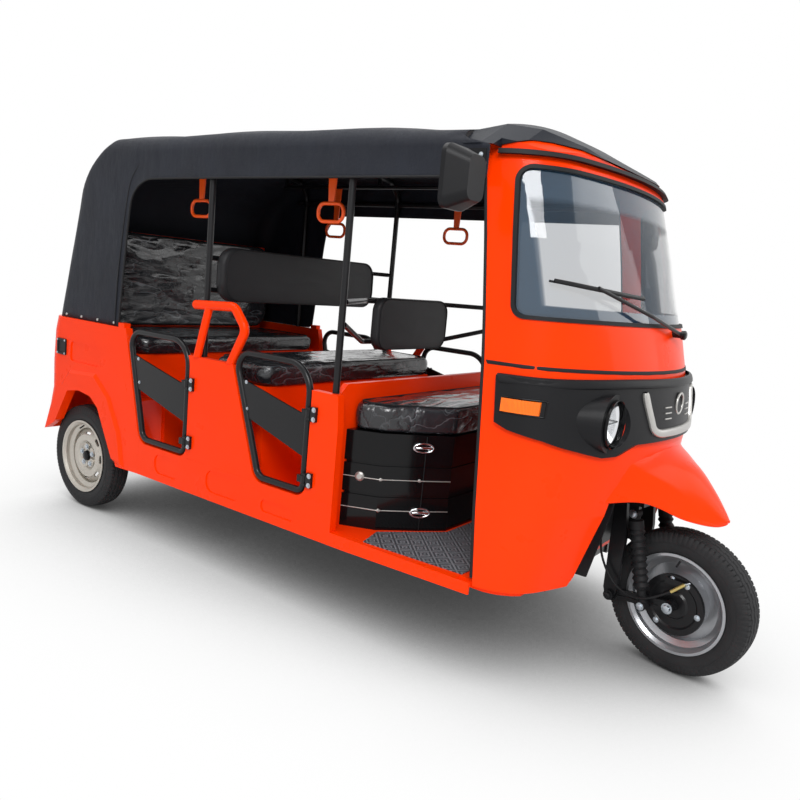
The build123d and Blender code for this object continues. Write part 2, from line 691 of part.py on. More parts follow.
def bow(y, foot, drop):
    """Arched bow with its two posts, in sleeved lengths."""
    knee = BOW_KNEE[1] - drop
    half = [(-POST_X, y, foot), (-POST_X, y, knee - 70), (-BOW_KNEE[0], y, knee), (0, y, BOW_TOP - drop)]
    path = half + [(-x, y_, z) for x, y_, z in reversed(half[:-1])]
    whole = bar(path, POST_D, 60)
    whole -= block(FULL_X, (y - 20, y + 20), (knee - 130, knee - 130 + SEAT_GAP))
    for x in (-BOW_SLEEVE, -SEAT_GAP / 2, BOW_SLEEVE):
        whole -= block((x, x + SEAT_GAP), (y - 20, y + 20), (1600, 1800))
    return whole


def roof_frame():
    """Bows, side rails between the bows and the front bow."""
    whole = [bow(*row) for row in BOWS]
    stops = [RAIL_Y[0]] + [row[0] for row in BOWS] + [RAIL_Y[1]]
    for number, (start, end) in enumerate(zip(stops, stops[1:])):
        start += POST_D / 2 + SEAT_GAP if number else 0
        end -= POST_D / 2 + SEAT_GAP if number < len(BOWS) else 0
        whole.append(both_sides(rod((-POST_X, start, RAIL_Z), (-POST_X, end, RAIL_Z), POST_D / 2)))
    knee, top = FRONT_BOW
    end = (-POST_X + POST_D / 2 + SEAT_GAP, FRONT_BOW_Y, RAIL_Z)
    half = rod(end, (-knee[0], FRONT_BOW_Y, knee[1]), POST_D / 2)
    half += rod((-knee[0], FRONT_BOW_Y, knee[1]), (-SEAT_GAP / 2, FRONT_BOW_Y, top[1]), POST_D / 2)
    whole.append(both_sides(half - block((-SEAT_GAP / 2, 40), (600, 700), (1600, 1800))))
    return solids(*whole)


# ---------------------------------------------------------------- lower body
DOOR_TUBE = 25.0
DOOR_GAP = 6.0
DOOR_X = 616.0                 # plane of the door tubes' centres
# doors: name, hinge station, latch station at the foot, latch station at the top
DOORS = [("front", 1191, 1424, 1590),
         ("rear", 1862, 2148, 2266)]
DOOR_FOOT = 442.0              # heights of the tube's centre line
DOOR_HEAD = 900.0
DOOR_BENDS = [30, 46, 60, 105]  # bend radii: hinge foot, latch foot, latch head, hinge head
FRONT_PILLAR_Y = 1042.0
QUARTER_Y = 2164.0
PARTITION_Y = (1080.0, 1104.0)
INNER_X = HALF_W - PANEL


def door_outline(door):
    _, hinge, latch_low, latch_top = door
    return [(hinge, DOOR_FOOT), (latch_low, DOOR_FOOT), (latch_top, DOOR_HEAD), (hinge, DOOR_HEAD)]


def latch_station(door, z):
    """Station of the leaning latch tube's centre at one height."""
    return door[2] + (door[3] - door[2]) * (z - DOOR_FOOT) / (DOOR_HEAD - DOOR_FOOT)


def door_clearance(door, x):
    """Space that a door needs in its opening, open upwards on the latch side."""
    margin = DOOR_TUBE / 2 + DOOR_GAP
    loop = FilletPolyline(*door_outline(door), radius=DOOR_BENDS, close=True)
    face = make_face(Plane.YZ.offset(x[0]) * loop)
    space = extrude(offset(face, amount=margin), amount=x[1] - x[0], dir=(1, 0, 0))
    lean = math.atan2(door[3] - door[2], DOOR_HEAD - DOOR_FOOT)
    reach = margin / math.cos(lean)
    middle = (door[1] + door[2]) / 2 + 60
    above = [(middle, 640), (latch_station(door, 640) + reach, 640), (latch_station(door, 1000) + reach, 1000),
             (middle, 1000)]
    return space + side_prism(polygon(above), x)


# pressed recesses of the sill in side view: stations, heights
SILL_PRESSINGS = [((1216, 1392), (318, 366)), ((1508, 1712), (318, 408)), ((1880, 2050), (316, 400))]
PRESSING_DEPTH = 5.0
SILL_TOP = DOOR_FOOT - DOOR_TUBE / 2 - DOOR_GAP


def side_panel():
    """Sill with the front and middle pillars, cut for the two doors; right side."""
    x = (-HALF_W, -INNER_X)
    outline = [(470, 292), (FRONT_PILLAR_Y - 60, SILL_BOTTOM), (QUARTER_Y, SILL_BOTTOM), (QUARTER_Y, 470),
               (1900, 470), (1900, PILLAR_TOP), (1596, PILLAR_TOP), (1530, FRONT_PILLAR_TOP),
               (FRONT_PILLAR_Y + 10, FRONT_PILLAR_TOP), (FRONT_PILLAR_Y, 700), (FRONT_PILLAR_Y, FLOOR_TOP),
               (470, FLOOR_TOP)]
    panel = side_prism(polygon(outline), x)
    cut = (x[0] - 10, x[1] + 10)
    for door in DOORS:
        panel -= door_clearance(door, cut)
    for y, z in SILL_PRESSINGS:
        radius = (z[1] - z[0]) * 0.42
        face = Plane.YZ.offset(x[0] - 1) * Pos(sum(y) / 2, sum(z) / 2) \
            * RectangleRounded(y[1] - y[0], z[1] - z[0], radius)
        panel -= extrude(face, amount=PRESSING_DEPTH + 1, dir=(1, 0, 0), taper=12)
    seam = block(cut, (400, 2300), (SILL_TOP - SEAT_GAP, SILL_TOP))
    return panel - seam - cowl_body(-SEAT_GAP, COWL_REACH, COWL_REACH)


# rear body in plan sections: height, rear station, corner radius
TAIL = [(270, TAIL_TIP, 20),
        (338, TAIL_TIP, 20),
        (470, 2921, 50),
        (560, 2911, 70),
        (690, 2928, 90),
        (839, 2920, 95),
        (QUARTER_TOP, 2903, 100)]
TAIL_T = 18.0
TAIL_FOOT = TAIL[1][0]
TAIL_HALF = 520.0          # the tail panel reaches to the rounded corners
ARCH = [(2330, 278), (2470, 523), (2532, 566), (2626, 578), (2722, 563), (2822, 405), (2925, 345)]
# outer ridge of the raised moulding round the wheel arch: station, height
FLARE = [(2266, 284), (2302, 440), (2390, 588), (2505, 676), (2714, 664), (2790, 586), (2842, 446), (2842, 384)]
FLARE_OUT = 12.0
QUARTER_PRESSING = ((2478, 2722), (706, 798))
WELL_X = (452.0, 460.0)
WELL_TOP = (590.0, 600.0)
DECK_Y = 2236.0


def rear_shell():
    """Wall of the rear body with its two rounded corners."""
    inner = [(z, rear - TAIL_T, radius * 0.8) for z, rear, radius in TAIL]
    return tail_form(TAIL, HALF_W, 0) - tail_form(inner, INNER_X, 0, 40)


def rear_quarter():
    """Rear side panel with the wheel arch, its well and the canvas rail; right side."""
    far = TAIL_TIP + 20
    front = QUARTER_Y + SEAT_GAP
    outline = [(front, SILL_BOTTOM)] + ARCH + [(TAIL_TIP - 6, TAIL_FOOT), (far, TAIL_FOOT), (far, QUARTER_TOP)] \
        + [(2342, QUARTER_TOP), (2200, QUARTER_TOP), (front, 500)]
    side = (-HALF_W - 20, -TAIL_HALF)
    panel = rear_shell() & side_prism(polygon(outline), side)
    face = make_face(Plane.YZ.offset(-HALF_W + 0.5) * polygon(FLARE))
    flare = extrude(face, amount=FLARE_OUT, dir=(-1, 0, 0), taper=50)
    panel += flare - side_prism(polygon(ARCH + [(2925, 200), (2330, 200)]), side)
    y, z = QUARTER_PRESSING
    face = Plane.YZ.offset(-HALF_W - 1) * Pos(sum(y) / 2, sum(z) / 2) * RectangleRounded(y[1] - y[0], z[1] - z[0], 22)
    panel -= extrude(face, amount=PRESSING_DEPTH + 1, dir=(1, 0, 0), taper=12)
    panel += block((-HALF_W, -INNER_X), (2300, 2342), (QUARTER_TOP - 20, QUARTER_TOP + 20))
    panel -= door_clearance(DOORS[1], (-HALF_W - 10, -INNER_X + 10))
    roof = block((-INNER_X - 1, -WELL_X[0]), (DECK_Y, 2840), WELL_TOP)
    wall = block((-WELL_X[1], -WELL_X[0]), (DECK_Y, 2840), (330, WELL_TOP[0] + 1))
    wall -= block((-WELL_X[1] - 5, -WELL_X[0] + 5), (WHEELBASE - 85, WHEELBASE + 85), (300, 450))
    return panel + roof + wall


def tail_panel():
    half = TAIL_HALF - SEAT_GAP
    return rear_shell() & block((-half, half), (2800, TAIL_TIP + 20), (TAIL_FOOT, QUARTER_TOP))


def floor_pan():
    """Flat floor with the driver's toe board and the riser to the rear deck."""
    x = (-INNER_X + SEAT_GAP, INNER_X - SEAT_GAP)
    low = FLOOR_TOP - FLOOR_T
    pan = block(x, (TOE_Y, DECK_Y), (low, FLOOR_TOP))
    toe = side_prism(polygon([(TOE_Y, low), (352, low), (352, FLOOR_TOP), (500, FLOOR_TOP), (362, 470), (TOE_Y, 470)]),
                     (-560, 560))
    toe = toe & cowl_body(SKIN + SEAT_GAP, COWL_REACH, COWL_REACH)
    pan -= block((-700, 700), (300, 480), (low - 5, FLOOR_TOP + 5)) - cowl_body(SKIN + 1, COWL_REACH, 40)
    riser = block((-WELL_X[0] + SEAT_GAP, WELL_X[0] - SEAT_GAP), (DECK_Y - 12, DECK_Y), (FLOOR_TOP - 1, WELL_TOP[1]))
    deck = block((-WELL_X[0] + SEAT_GAP, WELL_X[0] - SEAT_GAP), (DECK_Y - 12, 2846), WELL_TOP)
    neck_hole = block((-NECK_D / 2 - 2, NECK_D / 2 + 2), (300, NECK_Y + NECK_D / 2 + 2), (200, 480))
    return pan + toe - neck_hole + riser + deck


def partition():
    edge = INNER_X - SEAT_GAP
    outline = [(-edge, FLOOR_TOP + SEAT_GAP), (edge, FLOOR_TOP + SEAT_GAP), (edge, 798), (edge - 50, 846),
               (-edge + 50, 846), (-edge, 798)]
    return front_prism(polygon(outline), PARTITION_Y)


# ---------------------------------------------------------------- chassis
RAIL_X = (250.0, 300.0)
RAIL_LOW = FLOOR_TOP - FLOOR_T - SEAT_GAP - 60
NECK_D = 60.0
NECK_Y = 392.0
NECK_TOP = 745.0
CHASSIS_CROSS = [NECK_Y, 900, 1500, 2180]
AXLE_TUBE_R = 34.0
LEAVES = 4
LEAF_T = 8.0
LEAF_W = 50.0
LEAF_REACH = 200.0
LEAF_RISE = 40.0
KICK_LOW = 500.0


def chassis_frame():
    """Two box rails with cross members and the neck up to the steering head."""
    top = RAIL_LOW + 60
    rail = block(RAIL_X, (360, DECK_Y), (RAIL_LOW, top))
    kick = side_prism(polygon([(DECK_Y - 1, RAIL_LOW), (DECK_Y + 24, RAIL_LOW), (2346, KICK_LOW), (2860, KICK_LOW),
                               (2860, KICK_LOW + 60), (2310, KICK_LOW + 60), (DECK_Y + 2, top), (DECK_Y - 1, top)]),
                      RAIL_X)
    rail = rail + kick
    frame = rail + mirror(rail, about=Plane.YZ)
    for y in CHASSIS_CROSS:
        frame += block((-RAIL_X[0] - 1, RAIL_X[0] + 1), (y - 25, y + 25), (RAIL_LOW + 10, top - 10))
    frame += block((-RAIL_X[0] - 1, RAIL_X[0] + 1), (2800, 2850), (505, 555))
    neck = bar([(0, NECK_Y, RAIL_LOW + 30), (0, NECK_Y, NECK_TOP), (0, on_axis(NECK_TOP)[1] + 8, NECK_TOP)],
               NECK_D, 80)
    frame += neck
    frame += rod(on_axis(HEAD_Z[0]), on_axis(HEAD_Z[1]), HEAD_R)
    frame -= rod(on_axis(HEAD_Z[0] - 60), on_axis(HEAD_Z[1] + 60), STEM_R + FIT)
    return frame


def dashboard():
    """Moulded shelf and instrument hood inside the cowl."""
    body = block((-600, 600), (180, 470), (900, 1080))
    body &= cowl_body(SKIN + SEAT_GAP)
    body -= side_prism(polygon([(330, 890), (480, 890), (480, 1000), (400, 1000)]), (-600, 600))
    body -= rod(on_axis(860), on_axis(1120), 60)
    body -= block((-410, 410), (200, 480), (960, 1090))
    for side in (-1, 1):
        body -= rod((side * LAMP[0], 150, LAMP[2]), (side * LAMP[0], LAMP[1] + 60, LAMP[2]), LAMP_R + 4)
    return body


def rear_axle():
    """Axle beam with its drive motor and gear housing."""
    half = REAR_TRACK / 2
    beam = rod((-half + 62, WHEELBASE, TYRE_R), (half - 62, WHEELBASE, TYRE_R), AXLE_TUBE_R)
    for side in (-1, 1):
        beam += rod((side * (half - 62), WHEELBASE, TYRE_R), (side * (half - 40), WHEELBASE, TYRE_R), 88)
        beam += rod((side * (half - 41), WHEELBASE, TYRE_R), (side * (half + HUB_HALF), WHEELBASE, TYRE_R), AXLE_R)
    housing = [(-110, 0), (-110, 60), (-60, 104), (40, 104), (90, 60), (90, 0)]
    beam += Pos(0, WHEELBASE, TYRE_R) * turned(polygon(housing))
    beam += rod((-10, WHEELBASE - 60, TYRE_R), (-10, WHEELBASE - 330, TYRE_R + 10), 92)
    return beam


def leaf_springs():
    """Leaf pack between the axle and the rail, with its two hangers; left side."""
    seat = TYRE_R + AXLE_TUBE_R + SEAT_GAP
    middle = (RAIL_X[0] + RAIL_X[1]) / 2
    pack = None
    for i in range(LEAVES):
        reach = LEAF_REACH * (1 - i * 0.2)
        rise = LEAF_RISE * (reach / LEAF_REACH) ** 2
        z = seat + LEAF_T * (LEAVES - 1 - i)
        under = ThreePointArc((-reach, z + rise), (0, z), (reach, z + rise))
        over = ThreePointArc((reach, z + rise + LEAF_T), (0, z + LEAF_T), (-reach, z + rise + LEAF_T))
        ends = [Line((reach, z + rise), (reach, z + rise + LEAF_T)),
                Line((-reach, z + rise + LEAF_T), (-reach, z + rise))]
        face = Plane.YZ.offset(middle - LEAF_W / 2) * Pos(WHEELBASE, 0) * make_face([under, ends[0], over, ends[1]])
        leaf = extrude(face, amount=LEAF_W, dir=(1, 0, 0))
        pack = leaf if pack is None else pack + leaf
    eye_z = seat + LEAF_T * (LEAVES - 1) + LEAF_RISE + 2
    for y in (WHEELBASE - LEAF_REACH, WHEELBASE + LEAF_REACH):
        pack += block((middle - LEAF_W / 2, middle + LEAF_W / 2), (y - 16, y + 12), (eye_z - 4, KICK_LOW - SEAT_GAP))
    return pack


# ---------------------------------------------------------------- doors and their hinges
HINGE_X = HALF_W + 10.0        # hinge pins stand outside the body side
HINGE_BACK = 17.0              # pins stand this far ahead of the door's hinge tube
HINGES = (494.0, 732.0)        # heights of the hinges' middles
HINGE_PIN_R = 5.0
KNUCKLE_R = 9.0
KNUCKLE_H = 26.0
# diagonal panel of a door: heights of its edges at the hinge tube and at the latch tube
DOOR_PANEL = ((566, 716), (660, 802))


def door_frame(door):
    """Bent tube frame with its diagonal panel and hinge knuckles; right side."""
    hinge = door[1]
    x = -DOOR_X
    points = [(x, y, z) for y, z in door_outline(door)]
    loop = FilletPolyline(*points, radius=DOOR_BENDS, close=True)
    section = Plane(origin=loop @ 0, z_dir=loop % 0) * Circle(DOOR_TUBE / 2)
    frame = sweep(section, path=loop)
    near, far = DOOR_PANEL
    panel = [(hinge, near[0]), (hinge, near[1]), (latch_station(door, far[1]), far[1]),
             (latch_station(door, far[0]), far[0])]
    frame += side_prism(polygon(panel), (x - 4, x + 4))
    pin_y = hinge - HINGE_BACK
    for z in HINGES:
        knuckle = rod((-HINGE_X, pin_y, z - KNUCKLE_H / 2), (-HINGE_X, pin_y, z + KNUCKLE_H / 2), KNUCKLE_R)
        arm = block((-HINGE_X - 4, -HALF_W - 2), (pin_y, hinge + 12), (z - KNUCKLE_H / 2, z + KNUCKLE_H / 2))
        arm += block((-HALF_W - 3, x), (hinge - 9, hinge + 9), (z - KNUCKLE_H / 2, z + KNUCKLE_H / 2))
        frame += knuckle + arm
        frame -= rod((-HINGE_X, pin_y, z - KNUCKLE_H), (-HINGE_X, pin_y, z + KNUCKLE_H), HINGE_PIN_R + FIT)
    return frame


def hinge_brackets():
    """Hinge leaves and pins on the pillars, right side."""
    pieces = []
    for door in DOORS:
        pin_y = door[1] - HINGE_BACK
        edge = door[1] - DOOR_TUBE / 2 - DOOR_GAP
        for z in HINGES:
            leaf = block((-HINGE_X - 2, -HALF_W - SEAT_GAP), (edge - 34, pin_y - KNUCKLE_R - 2), (z - 26, z + 26))
            for low in (z - KNUCKLE_H / 2 - 9, z + KNUCKLE_H / 2 + 1):
                leaf += block((-HINGE_X - 6, -HINGE_X + 6), (pin_y - KNUCKLE_R - 3, pin_y + 6), (low, low + 8))
            leaf += rod((-HINGE_X, pin_y, z - KNUCKLE_H / 2 - 8), (-HINGE_X, pin_y, z + KNUCKLE_H / 2 + 8),
                        HINGE_PIN_R)
            pieces.append(leaf)
    return solids(*pieces)


# ---------------------------------------------------------------- rails, hoops, handles and mirrors
HOOP_D = 36.0


def arm_hoop():
    """Bent arm rest tube on the middle pillar, right side."""
    x = -(POST_X + POST_D / 2 + SEAT_GAP + HOOP_D / 2)
    foot = PILLAR_TOP + SEAT_GAP
    hoop = bar([(x, 1828, 1052), (x, 1600, 1064), (x, 1530, 985), (x + 8, 1625, foot - 20)], HOOP_D, 40)
    strut = rod((x, 1744, 1056), (x - 2, 1808, foot - 20), HOOP_D / 2 - 2)
    return hoop + strut - block((x - 60, x + 60), (1500, 1900), (foot - 80, foot))


HANDLE_X = 430.0
HANDLES = (1327.0, 2066.0)
HANDLE_RAIL_D = 18.0
HANDLE_RAIL_Z = 1660.0
HANDLE_Z = 1410.0              # underside of the loop's centre line
HANDLE_HALF = 62.0
HANDLE_H = 66.0
HANDLE_D = 14.0
# strap half widths at the rail and at the loop
STRAP = (24.0, 13.0)


def grab_handle(y):
    """Hanging oval loop and its tapered strap from the handle rail, right side."""
    x = -HANDLE_X
    top = HANDLE_RAIL_Z - HANDLE_RAIL_D / 2 - SEAT_GAP
    high = HANDLE_Z + HANDLE_H
    corners = [(x, y - HANDLE_HALF, HANDLE_Z), (x, y + HANDLE_HALF, HANDLE_Z), (x, y + HANDLE_HALF, high),
               (x, y - HANDLE_HALF, high)]
    loop = FilletPolyline(*corners, radius=HANDLE_H * 0.45, close=True)
    ring = sweep(Plane(origin=loop @ 0, z_dir=loop % 0) * Circle(HANDLE_D / 2), path=loop)
    strap = side_prism(polygon([(y - STRAP[1], high - 3), (y + STRAP[1], high - 3), (y + STRAP[0], top),
                                (y - STRAP[0], top)]), (x - 3, x + 3))
    return ring + strap


MIRROR = (-762.0, 572.0, 1512.0)
MIRROR_FOOT = ((574, 646), (1546, 1618))   # stations and heights of the bracket on the canvas
MIRROR_FOOT_T = 8.0


def mirror_right():
    """Mirror shell on a bent arm from its bracket at the roof corner."""
    x, y, z = MIRROR
    face = Plane.XZ.offset(-y) * Pos(x, z) * RectangleRounded(132, 172, 30)
    back = Plane.XZ.offset(-y + 58) * Pos(x + 8, z) * RectangleRounded(86, 120, 26)
    shell = loft([face, back], ruled=True)
    rim_part = extrude(face, amount=14, dir=(0, 1, 0))
    seat = -CANOPY_HALF - SEAT_GAP
    foot = block((seat - MIRROR_FOOT_T, seat), *MIRROR_FOOT)
    arm = bar([(x + 40, y - 30, z + 20), (x + 80, y - 34, z + 52), (seat - 22, 606, 1582), (seat - 3, 606, 1582)],
              14, 9)
    return shell + rim_part + arm + foot


# ---------------------------------------------------------------- seats
BOX_TOP = 685.0
# driver's seat box in plan, right half: across, station
BOX_PLAN = [(-532, PARTITION_Y[0] - SEAT_GAP), (-476, 958), (-355, 849), (-275, 786)]
BOX_WALL = 12.0


def box_outline(z):
    half = [(x, y) for x, y in BOX_PLAN]
    return make_face(Plane.XY.offset(z) * polygon(half + [(-x, y) for x, y in reversed(half)]))


def driver_seat_box():
    foot = FLOOR_TOP + SEAT_GAP
    body = extrude(box_outline(foot), amount=BOX_TOP - foot, dir=(0, 0, 1))
    for z in (452.0, 566.0):
        ring = extrude(box_outline(z), amount=10, dir=(0, 0, 1))
        ring -= extrude(offset(box_outline(z), amount=-5), amount=10, dir=(0, 0, 1))
        body -= ring
    hollow = extrude(offset(box_outline(foot - 5), amount=-BOX_WALL), amount=BOX_TOP - foot - BOX_WALL + 5,
                     dir=(0, 0, 1))
    return body - hollow


BATTERY = ((-300, 300), (860, 1050), (FLOOR_TOP + SEAT_GAP, FLOOR_TOP + 270))
DRIVER_CUSHION_TOP = 800.0


def cushion(x, y, z, corner, crown=18):
    """Plain cushion: a slab with rounded corners and top edge."""
    size = (x[1] - x[0], y[1] - y[0])
    face = Pos((x[0] + x[1]) / 2, (y[0] + y[1]) / 2, z[0]) * RectangleRounded(*size, corner)
    slab = extrude(face, amount=z[1] - z[0], dir=(0, 0, 1))
    return fillet(slab.edges().group_by(Axis.Z)[-1], crown)


def driver_cushion():
    outline = offset(box_outline(BOX_TOP + SEAT_GAP), amount=-2)
    slab = extrude(outline, amount=DRIVER_CUSHION_TOP - BOX_TOP, dir=(0, 0, 1))
    return fillet(slab.edges().group_by(Axis.Z)[-1], 20)


def back_pad(x, y, z, corner):
    size = (x[1] - x[0], z[1] - z[0])
    face = Plane.XZ.offset(-y[0]) * Pos((x[0] + x[1]) / 2, (z[0] + z[1]) / 2) * RectangleRounded(*size, corner)
    slab = extrude(face, amount=y[1] - y[0], dir=(0, 1, 0))
    return fillet(slab.edges().group_by(Axis.Y)[0], 18)


DRIVER_PAD = ((-247, 247), (1196, 1246), (940, 1150))
MIDDLE_PAD = ((-500, 500), (1818, 1880), (1065, 1290))
BACK_TUBE = 20.0


def back_frame(pad, post_y, heights, foot_rise):
    """Two bowed tubes that carry a back pad between the posts."""
    rear = pad[1][1] + BACK_TUBE / 2 + SEAT_GAP
    end = POST_X - POST_D / 2 - SEAT_GAP
    whole = []
    for z, lift in zip(heights, foot_rise):
        half = [(-end - 20, post_y - 12, z + lift * 1.12), (pad[0][0] - 26, rear, z)]
        path = half + [(-x, y, h) for x, y, h in reversed(half)]
        tube = bar(path, BACK_TUBE, 40)
        whole.append(tube & block((-end, end), (post_y - 60, rear + 60), (z - 60, z + lift + 80)))
    return solids(*whole)


def bench_base(x, y, z, wall=10.0):
    outer = block(x, y, z)
    return outer - block((x[0] + wall, x[1] - wall), (y[0] + wall, y[1] - wall), (z[0] - 5, z[1] - wall))


MIDDLE_BENCH = ((-560, 560), (1470, 1796), (770, 868))
REAR_BENCH = ((-556, 556), (2262, 2690), (790, 880))
REAR_BOARD_Y = (2700.0, 2712.0)
REAR_BACK = ((-540, 540), (2628, REAR_BOARD_Y[0] - SEAT_GAP), (REAR_BENCH[2][1] + SEAT_GAP, 1330))


def rear_seat_base():
    """Box under the rear bench and the board behind its back rest."""
    base = bench_base((-560, 560), (2280, REAR_BOARD_Y[1]), (WELL_TOP[1] + SEAT_GAP, REAR_BENCH[2][0] - SEAT_GAP))
    return base + block(REAR_BACK[0], REAR_BOARD_Y, (REAR_BENCH[2][0] - 5, REAR_BACK[2][1]))


LAMP_X = (396.0, 512.0)
LAMP_Z = (726.0, 832.0)
TAIL_LAMP_T = 14.0


def tail_station(z):
    """Station of the tail panel's upper face at one height."""
    low, high = TAIL[4], TAIL[5]
    return low[1] + (high[1] - low[1]) * (z - low[0]) / (high[0] - low[0])


def tail_lamp():
    near = [(tail_station(z) + SEAT_GAP, z) for z in LAMP_Z]
    far = [(tail_station(z) + TAIL_LAMP_T, z) for z in reversed(LAMP_Z)]
    return side_prism(polygon(near + far), LAMP_X)


# wiper: spindle, knee, arm's end on the blade, and the blade's two ends; they stand off the glass
WIPER_SPINDLE = (24, 172, 1128)
WIPER_ARM = [(24, 136, 1128), (-191, 168, 1181), (-426, 262, 1252)]
WIPER_BLADE = [(-537, 352, 1261), (-497, 311, 1256), (-420, 264, 1248), (-334, 229, 1241), (-226, 195, 1234)]


def wiper():
    spindle = rod(WIPER_SPINDLE, WIPER_ARM[0], 11) - cowl_body(-SEAT_GAP, COWL_REACH, COWL_REACH)
    boss = rod(WIPER_ARM[0], (WIPER_ARM[0][0], WIPER_ARM[0][1] - 12, WIPER_ARM[0][2]), 15)
    return spindle + boss + bar(WIPER_ARM, 12, 60) + bar(WIPER_BLADE, 13, 60)


def bow_pads():
    """Pads on the front bow that carry the cab roof's cover."""
    pads = block((240, 300), (FRONT_BOW_Y - 8, FRONT_BOW_Y + 8), (FRONT_BOW[1][1] - 24, 1800))
    hollow = loft([dome_section(row, COVER_T + SEAT_GAP) for row in DOME], ruled=True)
    return both_sides(pads & hollow)


def handle_rail():
    """Rail of the hanging loops with its hangers under the bows; right side."""
    pieces = []
    radius = HANDLE_RAIL_D / 2
    end = (1080.0, 2452.0)
    pieces.append(rod((-HANDLE_X, end[0], HANDLE_RAIL_Z), (-HANDLE_X, end[1], HANDLE_RAIL_Z), radius))
    for y, _, drop in BOWS:
        rise = (BOW_TOP - BOW_KNEE[1]) * (BOW_KNEE[0] - HANDLE_X) / BOW_KNEE[0]
        bow_low = BOW_KNEE[1] - drop + rise - POST_D / 2
        low = HANDLE_RAIL_Z + radius + SEAT_GAP
        hanger = block((-HANDLE_X - 8, -HANDLE_X + 8), (y - 6, y + 6), (low, bow_low + 8))
        pieces.append(hanger - bow(y, BOW_TOP - 400, drop - SEAT_GAP) - bow(y, BOW_TOP - 400, drop + SEAT_GAP))
    return solids(*pieces)


MAT_T = 3.0
# driver's mat in plan, left half round the seat box: across, station
MAT_PLAN = [(585, 520), (606, 905), (490, 938), (366, 836), (285, 772)]
REAR_MAT = ((-470, 470), (1830, DECK_Y - 20))


def floor_mats():
    """Rubber mats of the driver's floor and the passengers' floor."""
    z = (FLOOR_TOP + SEAT_GAP, FLOOR_TOP + SEAT_GAP + MAT_T)
    outline = MAT_PLAN + [(-x, y) for x, y in reversed(MAT_PLAN)]
    return solids(plan_prism(polygon(outline), z), block(*REAR_MAT, z))


# ---------------------------------------------------------------- writing the nodes
def opposite(shape):
    return mirror(shape, about=Plane.YZ)


save("chassis_frame", chassis_frame())
save("floor_pan", floor_pan())
save("partition", partition())
save("tail_panel", tail_panel())
right_pieces = {"side_panel": side_panel(), "rear_quarter": rear_quarter(),
                "door_front": door_frame(DOORS[0]), "door_rear": door_frame(DOORS[1])}
for name, shape in right_pieces.items():
    save(name + "_right", shape)
    save(name + "_left", opposite(shape))
save("hinge_brackets", both_sides(hinge_brackets()))
save("arm_hoops", both_sides(arm_hoop()))

save("front_cowl", front_cowl())
save("windshield_seal", windshield_seal())
save("windshield_glass", windshield_glass())
save("wiper", wiper())
save("nose_fascia", fascia())
save("headlamps", both_sides(headlamp()))
save("turn_signals", both_sides(turn_signal()))
save("nose_emblem", emblem())
save("front_fender", front_fender())
save("wheel_housing", wheel_housing())
save("dashboard", dashboard())
save("mirrors", both_sides(mirror_right()))

save("cab_roof", cab_roof())
save("roof_cap", roof_cover())
save("roof_gutter", roof_gutter())
save("roof_frame", solids(roof_frame(), bow_pads(), both_sides(handle_rail())))
save("canopy", canopy())
save("grab_handles", solids(*[both_sides(grab_handle(y)) for y in HANDLES]))

save("floor_mats", floor_mats())
save("driver_seat_box", driver_seat_box())
save("battery_pack", block(*BATTERY))
save("driver_cushion", driver_cushion())
save("back_frames", solids(back_frame(DRIVER_PAD, BOWS[0][0], (972, 1131), (77, 0)),
                          back_frame(MIDDLE_PAD, BOWS[1][0], (1110, 1240), (0, 0))))
save("driver_back_pad", back_pad(*DRIVER_PAD, 50))
save("middle_seat_base", bench_base((-548, 548), (1486, 1790),
                                    (FLOOR_TOP + SEAT_GAP, MIDDLE_BENCH[2][0] - SEAT_GAP)))
save("middle_cushion", cushion(*MIDDLE_BENCH, 60))
save("middle_back_pad", back_pad(*MIDDLE_PAD, 80))
save("rear_seat_base", rear_seat_base())
save("rear_cushion", cushion(*REAR_BENCH, 60))
save("rear_back_pad", back_pad(*REAR_BACK, 80))
save("tail_lamps", both_sides(tail_lamp()))

save("rear_axle", rear_axle())
save("leaf_springs", both_sides(leaf_springs()))
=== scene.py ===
"""Visual model of the passenger auto rickshaw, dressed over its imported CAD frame.

Lengths are in metres.  Places along the vehicle are given as stations behind the front axle and
put into the row frame by at()."""
import bmesh
import bpy
from math import acos, copysign, cos, exp, pi, radians, sin, sqrt, tan
from mathutils import Matrix, Vector, noise


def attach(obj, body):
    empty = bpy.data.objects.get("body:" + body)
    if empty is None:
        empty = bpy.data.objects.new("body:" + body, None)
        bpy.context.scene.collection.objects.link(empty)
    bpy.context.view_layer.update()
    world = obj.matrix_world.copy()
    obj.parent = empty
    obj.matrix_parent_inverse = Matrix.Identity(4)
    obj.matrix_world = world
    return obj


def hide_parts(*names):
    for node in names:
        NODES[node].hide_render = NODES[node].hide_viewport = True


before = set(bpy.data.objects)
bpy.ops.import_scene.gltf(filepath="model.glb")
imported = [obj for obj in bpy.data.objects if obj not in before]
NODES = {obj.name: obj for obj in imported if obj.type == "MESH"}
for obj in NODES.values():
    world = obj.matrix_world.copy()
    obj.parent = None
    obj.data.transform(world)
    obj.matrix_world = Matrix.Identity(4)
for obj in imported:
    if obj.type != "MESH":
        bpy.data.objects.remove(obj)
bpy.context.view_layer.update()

MID_STATION = 1.353
TYRE_R = 0.247
WHEELBASE = 2.670
REAR_TRACK = 1.066
HALF_W = 0.626
SIDES = ((-1, "right"), (1, "left"))


def at(x, station, z):
    """A point by its distance to the vehicle's left, its station and its height."""
    return Vector((x, station - MID_STATION, z))


def placed(name, data):
    """A new object of the scene."""
    made = bpy.data.objects.new(name, data)
    bpy.context.scene.collection.objects.link(made)
    return made


# ---- camera
CAMERA_AT = at(-2.547, -0.594, 1.223)
CAMERA_AZIMUTH = radians(-54.19)
CAMERA_DOWN = radians(9.07)
CAMERA_ROLL = radians(5.37)
LENS = 33.77


